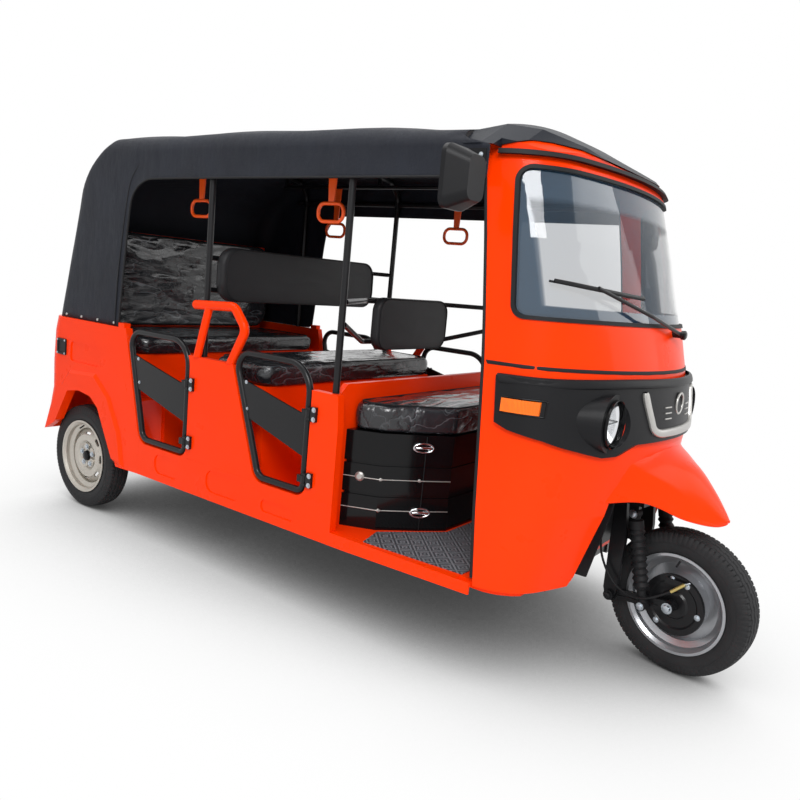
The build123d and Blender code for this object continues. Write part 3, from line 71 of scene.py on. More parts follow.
def camera():
    a, e, r = CAMERA_AZIMUTH, CAMERA_DOWN, CAMERA_ROLL
    back = Vector((sin(a) * cos(e), -cos(a) * cos(e), sin(e)))
    right = (-back).cross(Vector((0, 0, 1))).normalized()
    up = right.cross(-back)
    x = right * cos(r) + up * sin(r)
    y = up * cos(r) - right * sin(r)
    data = bpy.data.cameras.new("camera")
    data.lens = LENS
    data.sensor_width = 36
    data.clip_end = 200
    made = placed("camera", data)
    turn = Matrix((x, y, back)).transposed().to_4x4()
    made.matrix_world = Matrix.Translation(CAMERA_AT) @ turn
    bpy.context.scene.camera = made


# ---- materials
class Nodes:
    """A node tree, in which an input takes a constant or another node's output."""

    def __init__(self, tree):
        self.tree = tree

    def fill(self, socket, value):
        if isinstance(value, bpy.types.NodeSocket):
            self.tree.links.new(value, socket)
        else:
            socket.default_value = value

    def node(self, kind, inputs=None, **settings):
        made = self.tree.nodes.new("ShaderNode" + kind)
        for key, value in settings.items():
            setattr(made, key, value)
        for key, value in (inputs or {}).items():
            self.fill(made.inputs[key], value)
        return made

    def math(self, operation, a, b):
        return self.node("Math", {0: a, 1: b}, operation=operation).outputs["Value"]

    def range(self, value, low, high, start=0.0, end=1.0, **settings):
        inputs = {"From Min": start, "From Max": end, "To Min": low, "To Max": high, "Value": value}
        return self.node("MapRange", inputs, **settings).outputs["Result"]

    def split_rays(self, lit, shown):
        """Camera, glossy and transmission rays meet the second shader, and all others the first."""
        rays = self.node("LightPath").outputs
        seen = self.math("MAXIMUM", rays["Is Camera Ray"], rays["Is Glossy Ray"])
        seen = self.math("MAXIMUM", seen, rays["Is Transmission Ray"])
        return self.node("MixShader", {0: seen, 1: lit, 2: shown}).outputs["Shader"]


class Look(Nodes):
    """A Principled material with its node tree at hand."""

    def __init__(self, name):
        self.material = bpy.data.materials.new(name)
        self.material.use_nodes = True
        super().__init__(self.material.node_tree)
        self.shader = next(n for n in self.tree.nodes if n.type == "BSDF_PRINCIPLED")
        self.place = self.node("TexCoord").outputs["Object"]

    def set(self, **values):
        for key, value in values.items():
            self.fill(self.shader.inputs[key.replace("_", " ")], value)

    def stretched(self, stretch, turn=(0, 0, 0)):
        if stretch is None:
            return self.place
        inputs = {"Scale": stretch, "Rotation": turn, "Vector": self.place}
        return self.node("Mapping", inputs).outputs["Vector"]

    def noise(self, scale, detail=4.0, rough=0.55, stretch=None):
        inputs = {"Scale": scale, "Detail": detail, "Roughness": rough, "Vector": self.stretched(stretch)}
        return self.node("TexNoise", inputs).outputs["Fac"]

    def wave(self, scale, axis, turn=(0, 0, 0)):
        inputs = {"Scale": scale, "Vector": self.stretched((1, 1, 1), turn)}
        return self.node("TexWave", inputs, bands_direction=axis).outputs["Fac"]

    def mix(self, factor, dark, light):
        inputs = {"Factor": factor, "A": (*dark, 1), "B": (*light, 1)}
        return self.node("Mix", inputs, data_type="RGBA").outputs["Result"]

    def bump(self, height, distance):
        self.set(Normal=self.node("Bump", {"Distance": distance, "Height": height}).outputs["Normal"])


def scaled(rgb, factor):
    return tuple(min(1.0, c * factor) for c in rgb)


def plain(name, rgb, rough, metallic=0.0, coat=0.0, grain=60.0, spread=0.12, bump=0.0, specular=0.5):
    """A material with slight mottling of colour and gloss, and a fine grain where bump is given."""
    look = Look(name)
    cloud = look.noise(6.0)
    fine = look.noise(grain, detail=6.0)
    look.set(Base_Color=look.mix(cloud, scaled(rgb, 1 - spread), scaled(rgb, 1 + spread)))
    look.set(Roughness=look.range(fine, max(0.02, rough - 0.06), min(1.0, rough + 0.06)))
    look.set(Metallic=metallic, Coat_Weight=coat, Coat_Roughness=0.05, Specular_IOR_Level=specular)
    if bump:
        look.bump(fine, bump)
    return look.material


def paint():
    """Gloss enamel over pressed steel, with a faint orange peel."""
    look = Look("orange_paint")
    cloud = look.noise(1.6)
    look.set(Base_Color=look.mix(cloud, (0.97, 0.036, 0.0), (1.0, 0.047, 0.0)))
    look.set(Roughness=look.range(look.noise(9.0), 0.24, 0.34))
    look.set(Coat_Weight=0.08, Coat_Roughness=0.05, Specular_IOR_Level=0.07)
    look.bump(look.noise(240.0, detail=2.0), 0.00012)
    return look.material


def canvas():
    """Coated dark blue-black canvas with a fine weave and soft creases."""
    look = Look("canvas")
    cloud = look.noise(5.0, detail=6.0)
    look.set(Base_Color=look.mix(cloud, (0.008, 0.009, 0.013), (0.017, 0.020, 0.030)))
    look.set(Roughness=look.range(look.noise(30.0), 0.50, 0.66))
    weave = look.math("ADD", look.wave(480, "Y"), look.wave(480, "Z"))
    creases = look.noise(3.2, detail=5.0, stretch=(1.0, 2.6, 1.0))
    height = look.math("ADD", look.math("MULTIPLY", weave, 0.02), creases)
    look.bump(height, 0.008)
    look.set(Sheen_Weight=0.04, Sheen_Roughness=0.5, Specular_IOR_Level=0.16)
    return look.material


def vinyl():
    """Black seat vinyl with a leather grain."""
    look = Look("seat_vinyl")
    cells = look.node("TexVoronoi", {"Scale": 420, "Vector": look.place}, feature="DISTANCE_TO_EDGE")
    cloud = look.noise(7.0)
    look.set(Base_Color=look.mix(cloud, (0.010, 0.010, 0.011), (0.022, 0.022, 0.024)))
    look.set(Roughness=look.range(cloud, 0.36, 0.5))
    look.bump(cells.outputs["Distance"], 0.0006)
    look.set(Specular_IOR_Level=0.22)
    return look.material


def rubber_tread():
    look = Look("tyre_rubber")
    dust = look.noise(14.0, detail=5.0)
    look.set(Base_Color=look.mix(dust, (0.012, 0.012, 0.013), (0.030, 0.030, 0.031)))
    look.set(Roughness=look.range(dust, 0.55, 0.78))
    look.bump(look.noise(260.0), 0.0004)
    look.set(Specular_IOR_Level=0.2)
    return look.material


def glass():
    look = Look("window_glass")
    smear = look.noise(3.0)
    look.set(Base_Color=look.mix(smear, (0.012, 0.035, 0.065), (0.020, 0.055, 0.095)))
    split = look.node("SeparateXYZ", {"Vector": look.place}).outputs
    band = look.range(split["Z"], 0.0, 0.78, 1.47, 1.50)
    foot = look.range(split["Z"], 0.85, 0.0, 1.185, 1.192)
    width = look.math("ABSOLUTE", split["X"], 0.0)
    sides = look.range(width, 0.0, 0.85, 0.528, 0.535)
    border = look.math("MAXIMUM", look.math("MAXIMUM", foot, sides), band)
    look.set(Alpha=look.math("MAXIMUM", border, 0.28))
    look.set(Roughness=0.03, Coat_Weight=0.6, Coat_Roughness=0.02, Specular_IOR_Level=0.6)
    return look.material


def wrapped():
    """Dark seat cover under clear packing film. The highlights on its bunched folds and the film's sheen are
    painted into the base colour as pale streaks and patches.
    """
    look = Look("film_wrapped")
    folds = look.noise(5.0, detail=3.0, rough=0.45, stretch=(0.8, 3.2, 2.4))
    ridge = look.math("ABSOLUTE", look.math("SUBTRACT", folds, 0.5), 0.0)
    # painted highlights: pale streaks along the ridges of the folds
    painted_fold_highlight = look.range(ridge, 1.0, 0.0, 0.0, 0.016)
    # a second set of painted highlight streaks, running across the first
    across = look.noise(4.2, detail=2.0, rough=0.4, stretch=(3.0, 0.8, 1.6))
    second = look.math("ABSOLUTE", look.math("SUBTRACT", across, 0.52), 0.0)
    second = look.range(second, 0.5, 0.0, 0.0, 0.005)
    # patches where the painted highlights show, and a faint painted sheen of the film over the same patches
    painted_highlight_patches = look.range(look.noise(2.0), 0.15, 1.0, 0.42, 0.66)
    painted_highlights = look.math("MULTIPLY", look.math("MAXIMUM", painted_fold_highlight, second), painted_highlight_patches)
    painted_film_sheen = look.math("MULTIPLY", painted_highlight_patches, 0.07)
    light = look.math("ADD", look.math("MULTIPLY", painted_highlights, 0.48), painted_film_sheen)
    # the base colour runs from the dark cover up to pale grey where the highlights and sheen are painted
    look.set(Base_Color=look.mix(light, (0.008, 0.008, 0.010), (0.40, 0.43, 0.47)))
    look.set(Roughness=look.range(look.noise(18.0), 0.14, 0.30))
    look.set(Coat_Weight=0.5, Coat_Roughness=0.07, Specular_IOR_Level=0.4)
    look.bump(look.math("ADD", ridge, look.math("MULTIPLY", look.noise(30.0), 0.12)), 0.02)
    return look.material


def lens(name, rgb, alpha):
    """Moulded lamp lens with fine flutes."""
    look = Look(name)
    look.set(Base_Color=look.mix(look.noise(20.0), scaled(rgb, 0.8), rgb))
    look.set(Alpha=alpha, Roughness=0.10, Coat_Weight=0.25, Coat_Roughness=0.03)
    look.set(Specular_IOR_Level=0.35)
    look.bump(look.wave(90, "X"), 0.0012)
    return look.material


def chequer_mat():
    """Grey ribbed rubber mat: short raised bars in alternating directions."""
    look = Look("floor_mat")
    one, other = (look.wave(24, "X", (0, 0, radians(lean))) for lean in (45, -45))
    cells = look.node("TexChecker", {"Scale": 26, "Vector": look.place}).outputs["Fac"]
    picked = look.node("Mix", {"Factor": cells, "A": one, "B": other}, data_type="FLOAT")
    height = look.range(picked.outputs["Result"], 0, 1, 0.45, 0.7)
    # the colour follows the height: the ground between the bars is painted darker as painted shade, and the
    # raised bars lighter as painted highlight
    look.set(Base_Color=look.mix(height, (0.055, 0.058, 0.066), (0.22, 0.225, 0.245)))
    look.set(Roughness=look.range(look.noise(12.0), 0.38, 0.55))
    look.set(Metallic=0.15)
    look.bump(height, 0.0012)
    return look.material


MATERIALS = {
    "paint": paint(),
    "canvas": canvas(),
    "vinyl": vinyl(),
    "wrapped": wrapped(),
    "tread": rubber_tread(),
    "glass": glass(),
    "mat": chequer_mat(),
    "black_paint": plain("black_enamel", (0.009, 0.009, 0.010), 0.30, coat=0.12, spread=0.2, bump=0.0001,
                         specular=0.2),
    "black_plastic": plain("moulded_black", (0.010, 0.010, 0.011), 0.38, grain=500.0, spread=0.15,
                           bump=0.0002, specular=0.14),
    "gloss_plastic": plain("gloss_black", (0.004, 0.004, 0.0045), 0.13, coat=0.08, grain=90.0, spread=0.2,
                           specular=0.18),
    "cover": plain("roof_cover", (0.009, 0.011, 0.016), 0.40, grain=200.0, spread=0.25, bump=0.0004,
                   specular=0.11),
    "rubber": plain("black_rubber", (0.011, 0.011, 0.012), 0.6, grain=300.0, bump=0.0002, specular=0.2),
    "silver": plain("silver_enamel", (0.42, 0.43, 0.45), 0.30, metallic=0.75, grain=400.0, spread=0.06),
    "beige": plain("rim_enamel", (0.48, 0.45, 0.40), 0.34, metallic=0.6, grain=400.0, spread=0.08),
    "chrome": plain("chrome", (0.75, 0.76, 0.78), 0.08, metallic=1.0, spread=0.03),
    "satin_chrome": plain("satin_silver", (0.44, 0.43, 0.41), 0.34, metallic=0.7, grain=12.0, spread=0.04),
    "zinc": plain("zinc", (0.50, 0.54, 0.58), 0.32, metallic=0.9, grain=200.0, bump=0.0001),
    "amber": lens("amber_lens", (1.0, 0.17, 0.0), 1.0),
    "red": lens("red_lens", (0.62, 0.008, 0.006), 1.0),
    "clear": lens("clear_lens", (0.85, 0.88, 0.90), 0.28),
    "orange_plastic": plain("orange_plastic", (1.0, 0.10, 0.006), 0.4, grain=300.0, spread=0.08, bump=0.0002),
    "mirror": plain("mirror_glass", (0.82, 0.84, 0.86), 0.02, metallic=1.0, spread=0.01),
    "brass": plain("yellow_zinc", (0.55, 0.44, 0.16), 0.35, metallic=0.8, spread=0.1),
}

# which material each CAD node shows
NODE_FINISH = {
    "paint": "front_cowl front_fender side_panel_left side_panel_right rear_quarter_left rear_quarter_right "
             "tail_panel partition middle_seat_base cab_roof arm_hoops rear_seat_base floor_pan",
    "black_paint": "front_fork front_links handlebar roof_frame chassis_frame rear_axle leaf_springs "
                   "door_front_left door_front_right door_rear_left door_rear_right hinge_brackets "
                   "back_frames brake_plate wiper",
    "black_plastic": "nose_fascia dashboard mirrors wheel_housing",
    "cover": "roof_cap",
    "gloss_plastic": "driver_seat_box battery_pack",
    "rubber": "front_dampers windshield_seal brake_cable roof_gutter",
    "silver": "front_rim",
    "beige": "rear_rim_left rear_rim_right",
    "tread": "front_tyre rear_tyre_left rear_tyre_right",
    "satin_chrome": "nose_emblem",
    "clear": "headlamps",
    "amber": "turn_signals",
    "red": "tail_lamps",
    "glass": "windshield_glass",
    "orange_plastic": "grab_handles",
    "mat": "floor_mats",
    "canvas": "canopy",
    "vinyl": "driver_cushion driver_back_pad middle_cushion middle_back_pad rear_cushion rear_back_pad",
}


def finish_nodes():
    for finish, names in NODE_FINISH.items():
        for name in names.split():
            mesh = NODES[name].data
            mesh.materials.clear()
            mesh.materials.append(MATERIALS[finish])
            mesh.polygons.foreach_set("use_smooth", [True] * len(mesh.polygons))
            mesh.set_sharp_from_angle(angle=radians(28))


# ---- mesh helpers
def piece(name, verts, faces, finish, body="body", sharp=None):
    mesh = bpy.data.meshes.new(name)
    mesh.from_pydata([tuple(v) for v in verts], [], faces)
    mesh.validate()
    mesh.materials.append(MATERIALS[finish])
    mesh.polygons.foreach_set("use_smooth", [True] * len(mesh.polygons))
    if sharp:
        mesh.set_sharp_from_angle(angle=radians(sharp))
    made = placed(name, mesh)
    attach(made, body)
    return made


def both_sides(half):
    """Points from the right edge to the middle, then mirrored on to the left edge."""
    return half + [(-x, *rest) for x, *rest in reversed(half[:-1])]


def grid_faces(rows, columns, close_rows=False, close_columns=False, start=0):
    """Quads over a grid of points stored row by row."""
    faces = []
    for i in range(rows if close_rows else rows - 1):
        for j in range(columns if close_columns else columns - 1):
            a = start + i * columns + j
            b = start + i * columns + (j + 1) % columns
            c = start + ((i + 1) % rows) * columns + (j + 1) % columns
            d = start + ((i + 1) % rows) * columns + j
            faces.append((a, b, c, d))
    return faces


def modifier(made, kind, **settings):
    added = made.modifiers.new(kind.lower(), kind)
    for key, value in settings.items():
        setattr(added, key, value)


def subdivide(made):
    modifier(made, "SUBSURF", levels=1, render_levels=1)


def tube(name, points, radius, finish, body="body", cyclic=False, order=3):
    """A round tube along a smooth line through its points' control net."""
    curve = bpy.data.curves.new(name, "CURVE")
    curve.dimensions = "3D"
    curve.bevel_depth = radius
    curve.bevel_resolution = 4
    curve.resolution_u = 8
    spline = curve.splines.new("NURBS")
    spline.points.add(len(points) - 1)
    for target, point in zip(spline.points, points):
        target.co = (*point, 1)
    spline.order_u = order
    spline.use_endpoint_u = not cyclic
    spline.use_cyclic_u = cyclic
    curve.use_fill_caps = True
    curve.materials.append(MATERIALS[finish])
    made = placed(name, curve)
    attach(made, body)


def frame_to(direction, origin):
    """A matrix that takes +Z to a direction at an origin."""
    z = Vector(direction).normalized()
    return Matrix.Translation(origin) @ z.to_track_quat("Z", "Y").to_matrix().to_4x4()


def turns(count):
    """Evenly spaced angles once round a circle."""
    return [2 * pi * k / count for k in range(count)]


def lathe(name, profile, place, finish, body="body", segments=48, sharp=30):
    """A profile of (radius, height) points turned about the local Z axis of a place matrix."""
    verts = [place @ Vector((radius * cos(angle), radius * sin(angle), height))
             for angle in turns(segments) for radius, height in profile]
    faces = grid_faces(segments, len(profile), close_rows=True)
    fuse(piece(name, verts, faces, finish, body, sharp=sharp))


def fuse(made, distance=1e-5):
    """Joins points that coincide and turns every face outwards."""
    work = bmesh.new()
    work.from_mesh(made.data)
    bmesh.ops.remove_doubles(work, verts=work.verts, dist=distance)
    bmesh.ops.recalc_face_normals(work, faces=work.faces)
    work.to_mesh(made.data)
    work.free()


def bolt(name, origin, direction, radius, finish="zinc", body="body"):
    """Low domed hexagon head on a washer."""
    place = frame_to(direction, origin)
    rim, seat, height = radius * 1.5, radius * 0.25, radius * 0.8
    verts = []
    for i, angle in enumerate(turns(12)):
        flat = radius * (1.0 if i % 2 else 0.93)
        profile = ((0, 0), (rim, 0), (rim, radius * 0.22), (radius * 0.9, seat), (flat, seat), (flat, height),
                   (flat * 0.7, height * 1.15), (0, height * 1.15))
        verts += [place @ Vector((r * cos(angle), r * sin(angle), h)) for r, h in profile]
    fuse(piece(name, verts, grid_faces(12, 8, close_rows=True), finish, body, sharp=25))


# ---- canopy
CANOPY_HALF = 0.616
SIDE_FRONT = 0.5685
ROOF_FRONT = 0.661
VALANCE_Z = 1.540
HEM_Z = 0.9053
BOW_STATIONS = (1.092, 1.800, 2.440)
# roof sections: station, height of the side's upper end, knee height, crown height
ROOF_ROWS = [(0.560, 1.634, 1.680, 1.748), (1.092, 1.645, 1.706, 1.784), (1.500, 1.652, 1.714, 1.802),
             (2.960, 1.652, 1.714, 1.802)]
KNEE_IN = 0.056
# rear of the sheet: height, station, corner radius
REAR_ROWS = [(0.880, 2.908, 0.100), (1.184, 2.842, 0.100), (1.450, 2.765, 0.100), (1.513, 2.750, 0.096),
             (1.600, 2.672, 0.090), (1.690, 2.530, 0.080), (1.790, 2.468, 0.060), (1.830, 2.430, 0.050)]
# lower edge of the side: station, height
SIDE_EDGE = [(SIDE_FRONT, VALANCE_Z), (2.140, VALANCE_Z), (2.200, 1.532), (2.255, 1.505), (2.292, 1.462),
             (2.306, 1.400), (2.322, 1.250), (2.340, 1.080), (2.352, 0.960), (2.358, HEM_Z)]

# seam down the rear corner: half width, station, height
SIDE_SEAM = [(0.6155, 2.386, HEM_Z + 0.01), (0.6155, 2.380, 1.10), (0.6145, 2.352, 1.30),
             (0.6135, 2.330, 1.45), (0.612, 2.300, 1.56), (0.608, 2.22, 1.628)]
SNAP_Z = HEM_Z + 0.014


def along(table, value, column=1):
    """Straight-line reading of one column of a table keyed by its first column."""
    if value <= table[0][0]:
        return table[0][column]
    for low, high in zip(table, table[1:]):
        if value <= high[0]:
            part = (value - low[0]) / (high[0] - low[0])
            return low[column] + (high[column] - low[column]) * part
    return table[-1][column]


def roof_point(t, station):
    """Half width and height of the roof's section: t runs 1 at the side's upper end to 2 at the crown."""
    side, knee_z, crown = (along(ROOF_ROWS, station, column) for column in (1, 2, 3))
    knee = CANOPY_HALF - KNEE_IN
    s = t - 1
    bend = 0.16
    if s < bend:
        angle = pi / 2 * s / bend
        return knee + KNEE_IN * cos(angle), side + (knee_z - side) * sin(angle)
    width = knee * (1 - (s - bend) / (1 - bend))
    return width, crown - (crown - knee_z) * (width / knee) ** 2


def canopy_sheet():
    """One sheet over the bows: roof, sides down to the hem and the sloped back."""
    sides = [SIDE_FRONT, ROOF_FRONT, 0.8, 0.94, 1.092, 1.24, 1.40, 1.56, 1.72, 1.80, 1.90, 2.0, 2.08]
    sides += [station for station, _ in SIDE_EDGE[1:]] + [2.378]
    low_rows, high_rows = 14, 30
    corner_steps, back_steps = 8, 12
    levels = [i / low_rows for i in range(low_rows)] + [1 + i / high_rows for i in range(high_rows + 1)]
    verts = []
    for t in levels:
        half = []
        for station in sides:
            station = max(station, ROOF_FRONT) if t > 1 else station
            width = CANOPY_HALF
            if t <= 1:
                low = along(SIDE_EDGE, station)
                z = low + (along(ROOF_ROWS, station) - low) * t
            else:
                width, z = roof_point(t, station)
            half.append((width, station, z))
        z_rear = HEM_Z + (ROOF_ROWS[-1][1] - HEM_Z) * t
        width = CANOPY_HALF
        if t > 1:
            width, z_rear = roof_point(t, 2.5)
        rear, corner = along(REAR_ROWS, z_rear), min(along(REAR_ROWS, z_rear, 2), width * 0.9)
        half.append((width, max(2.379, sides[-1] + (rear - corner - sides[-1]) * 0.5), z_rear))
        for i in range(corner_steps + 1):
            angle = pi / 2 * i / corner_steps
            across, ahead = corner * (1 - cos(angle)), corner * (1 - sin(angle))
            half.append((width - across, rear - ahead, z_rear))
        for i in range(1, back_steps + 1):
            half.append(((width - corner) * (1 - i / back_steps), rear, z_rear))
        verts += [drape(*point, t) for point in both_sides(half)]
    made = piece("canopy_sheet", verts, grid_faces(len(levels), len(verts) // len(levels)), "canvas")
    fuse(made, 2e-4)
    subdivide(made)
    modifier(made, "SOLIDIFY", thickness=0.003, offset=-1)
    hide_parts("canopy")


def drape(x, station, z, t):
    """Sag between the bows, a soft bow line over each of them, and small creases."""
    gap = min(abs(station - s) for s in BOW_STATIONS)
    sag = 0.010 * (1 - exp(-(gap / 0.16) ** 2))
    if station < 0.8:
        sag *= max(0, (station - ROOF_FRONT) / 0.14)
    if t > 1:
        z -= sag * min(1, (t - 1) * 3)
    elif t > 0.1 and abs(x) > 0.4:
        x -= copysign(sag * 0.35 * sin(pi * t), x)
    wobble = noise.noise(Vector((x * 2.1, station * 2.4, z * 3.0)))
    if station > 2.5 and t < 1:
        station -= 0.006 + 0.006 * wobble
    return at(x * (1 - 0.003 * (1 + wobble)), station, z)


def canopy_trim():
    """Piped seams round the side openings and down the rear corners, and the hem's snaps."""
    for side, name in SIDES:
        edge = [at(side * CANOPY_HALF, station, z) for station, z in SIDE_EDGE]
        tube("opening_piping_" + name, edge, 0.0042, "rubber")
        seam = [at(side * x, station, z) for x, station, z in SIDE_SEAM]
        tube("side_seam_" + name, seam, 0.0026, "rubber")
        for number, station in enumerate((2.392, 2.52, 2.65, 2.775)):
            spot = at(side * 0.6165, station, SNAP_Z)
            snap("hem_snap_%s_%d" % (name, number), spot, (side, 0, 0))
    for number, x in enumerate((-0.40, -0.20, 0.0, 0.20, 0.40)):
        snap("tail_snap_%d" % number, at(x, 2.8985, SNAP_Z), (0, 1, 0))


def snap(name, origin, direction):
    """Domed press stud."""
    profile = [(0.0, 0.004), (0.004, 0.0035), (0.0062, 0.0018), (0.0066, -0.002), (0.0, -0.002)]
    lathe(name, profile, frame_to(direction, origin), "satin_chrome", segments=16)


# ---- the cowl's surface
# plan sections: height, half width at the rear edge, its station, nose station, nose radius, corner radius
COWL = [(0.322, 0.617, 0.462, 0.196, 1.300, 0.178), (0.560, 0.611, 0.484, 0.132, 1.000, 0.210),
        (0.770, 0.603, 0.500, 0.104, 0.860, 0.205), (1.005, 0.592, 0.520, 0.132, 0.830, 0.190),
        (1.130, 0.584, 0.536, 0.165, 0.900, 0.195), (1.380, 0.571, 0.570, 0.246, 1.200, 0.210),
        (1.600, 0.558, 0.606, 0.326, 1.500, 0.220), (1.630, 0.554, 0.610, 0.345, 1.500, 0.221)]
TOE = radians(6)


def cowl_point(x, z, out=0.0):
    """Point of the cowl's surface at one distance across and one height, moved outwards by out."""
    half, rear, nose, nose_r, corner_r = (along(COWL, z, column) for column in range(1, 6))
    side = copysign(1, x)
    x = abs(x)
    inward = Vector((-cos(TOE), sin(TOE)))
    ahead = Vector((-sin(TOE), -cos(TOE)))
    centre = Vector((0, nose + nose_r))
    start = Vector((half, rear)) + inward * corner_r
    gap = start - centre
    b, c = gap.dot(ahead), gap.dot(gap) - (nose_r - corner_r) ** 2
    corner = start + ahead * (-b + sqrt(b * b - c))
    nose_end = corner + (corner - centre).normalized() * corner_r
    side_end = corner - inward * corner_r
    if x <= nose_end.x:
        point = Vector((x, centre.y - sqrt(nose_r ** 2 - x * x)))
        normal = (point - centre).normalized()
    elif x <= side_end.x:
        point = Vector((x, corner.y - sqrt(max(corner_r ** 2 - (x - corner.x) ** 2, 0))))
        normal = (point - corner).normalized()
    else:
        part = min(1, (x - side_end.x) / max(half - side_end.x, 1e-6))
        point = side_end + (Vector((half, rear)) - side_end) * part
        normal = -inward
    point += normal * out
    return at(side * point.x, point.y, z)


def across(half):
    """Distances from the right to the middle, then mirrored on to the left."""
    return [*half, *(-x for x in half[-2::-1])]


def cowl_trim():
    """Belt strip round the cowl and edge rubbers at its rear."""
    xs = across((-0.591, -0.575, -0.54, -0.50, -0.45, -0.38, -0.30, -0.20, -0.10, 0.0))
    verts = [cowl_point(x, z, 0.0018) for z in (1.0015, 1.0125) for x in xs]
    strip = piece("belt_strip", verts, grid_faces(2, len(xs)), "rubber")
    modifier(strip, "SOLIDIFY", thickness=0.003, offset=0)
    modifier(strip, "BEVEL", width=0.0008, segments=2)
    for side, name in SIDES:
        rows = []
        for z in (0.345, 0.45, 0.56, 0.68, 0.77, 0.9, 1.005, 1.13, 1.25, 1.38, 1.5, 1.59):
            half, rear = along(COWL, z, 1), along(COWL, z, 2)
            rows.append(at(side * (half - 0.004), rear + 0.0065, z))
        tube("cowl_edge_rubber_" + name, rows, 0.006, "rubber")


# ---- tyres
TREAD_FROM = 0.2405
TREAD_GROOVES = (-0.0285, -0.0095, 0.0095, 0.0285)


def tyre_profile():
    """Section of the tyre from bead to bead: across, radius."""
    points = [(-0.0405, 0.158), (-0.044, 0.166), (-0.0462, 0.1745)]
    for i in range(1, 9):
        angle = radians(-62 + 124 * i / 9)
        points.append((-0.0375 - 0.0163 * cos(angle), 0.2065 + 0.0365 * sin(angle)))
    points.append((-0.0425, 0.2422))
    for i in range(1, 28):
        x = -0.042 + 0.084 * i / 28
        points.append((x, 0.247 - 0.0044 * (x / 0.042) ** 2))
    return points + [(-x, r) for x, r in reversed(points[:12])]


def tread_depth(x, angle):
    """How deep the tread is cut at one place."""
    for groove in TREAD_GROOVES:
        zig = 0.0016 * copysign(1, sin(angle * 42))
        if abs(x - groove - zig) < 0.0019:
            return 0.0052
    if abs(x) > 0.030 and sin(angle * 84 + 40 * abs(x)) > 0.80:
        return 0.0042
    if abs(x) < 0.008 and sin(angle * 84) > 0.93:
        return 0.0026
    return 0.0


def tyre(name, node, place, body):
    """Tyre with its tread cut in, notched shoulders and two moulded rings on each wall."""
    steps, profile = 504, tyre_profile()
    width = len(profile)
    verts = []
    for i, angle in enumerate(turns(steps)):
        for x, r in profile:
            if r > TREAD_FROM:
                r -= tread_depth(x, angle)
            elif 0.214 < r < 0.238 and i % 6 < 2:
                x -= copysign(0.0011, x)
            verts.append(place @ Vector((x, r * sin(angle), r * cos(angle))))
    faces = grid_faces(steps, width, close_rows=True)
    for i in range(steps):
        near, far = i * width, (i + 1) % steps * width
        faces.append((near, near + width - 1, far + width - 1, far))
    made = piece(name, verts, faces, "tread", body, sharp=35)
    fuse(made, 1e-6)
    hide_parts(node)
    for radius, height in ((0.1905, 0.0497), (0.2095, 0.0538)):
        for side, _ in SIDES:
            ring = [place @ Vector((side * height, radius * sin(a), radius * cos(a))) for a in turns(40)]
            ring_name = "%s_ring_%d_%d" % (name, round(radius * 1000), side)
            tube(ring_name, ring, 0.0009, "tread", body, cyclic=True)


PIVOT_STATION, PIVOT_Z = 0.130, 0.560
RAKE = radians(20)
TURNED_AT_REST = radians(-10)
CLAMP_Z = 0.985
STEER_PIVOT = at(0, PIVOT_STATION, PIVOT_Z)
STEER_TURN = Matrix.Rotation(TURNED_AT_REST, 4, Vector((0, sin(RAKE), cos(RAKE))))
STEERED = Matrix.Translation(STEER_PIVOT) @ STEER_TURN @ Matrix.Translation(-STEER_PIVOT)


def steered(x, station, z):
    """A point of the steering, given as it is with the wheel straight ahead."""
    return STEERED @ at(x, station, z)


def front_wheel():
    place = STEERED @ Matrix.Translation(at(0, 0, TYRE_R))
    tyre("front_tread", "front_tyre", place, "front_wheel")
    valve("front_valve", place, -0.045, "front_wheel")


def valve(name, place, x, body):
    """Valve stem through the rim."""
    low, high = place @ Vector((x, 0.0, 0.150)), place @ Vector((x - 0.022, 0.0, 0.138))
    tube(name, [low, (low + high) / 2, high], 0.0035, "rubber", body)


def steer_tube(name, points, radius, finish):
    """Tube on the steering, through points given as they are with the wheel straight ahead."""
    tube(name, [steered(*point) for point in points], radius, finish, "steering")


def steer_bolt(name, x, station, z, radius, finish="zinc"):
    """Bolt on the outer side of the steering, facing away from the middle."""
    direction = STEERED.to_3x3() @ Vector((copysign(1, x), 0, 0))
    bolt(name, steered(x, station, z), direction, radius, finish, "steering")


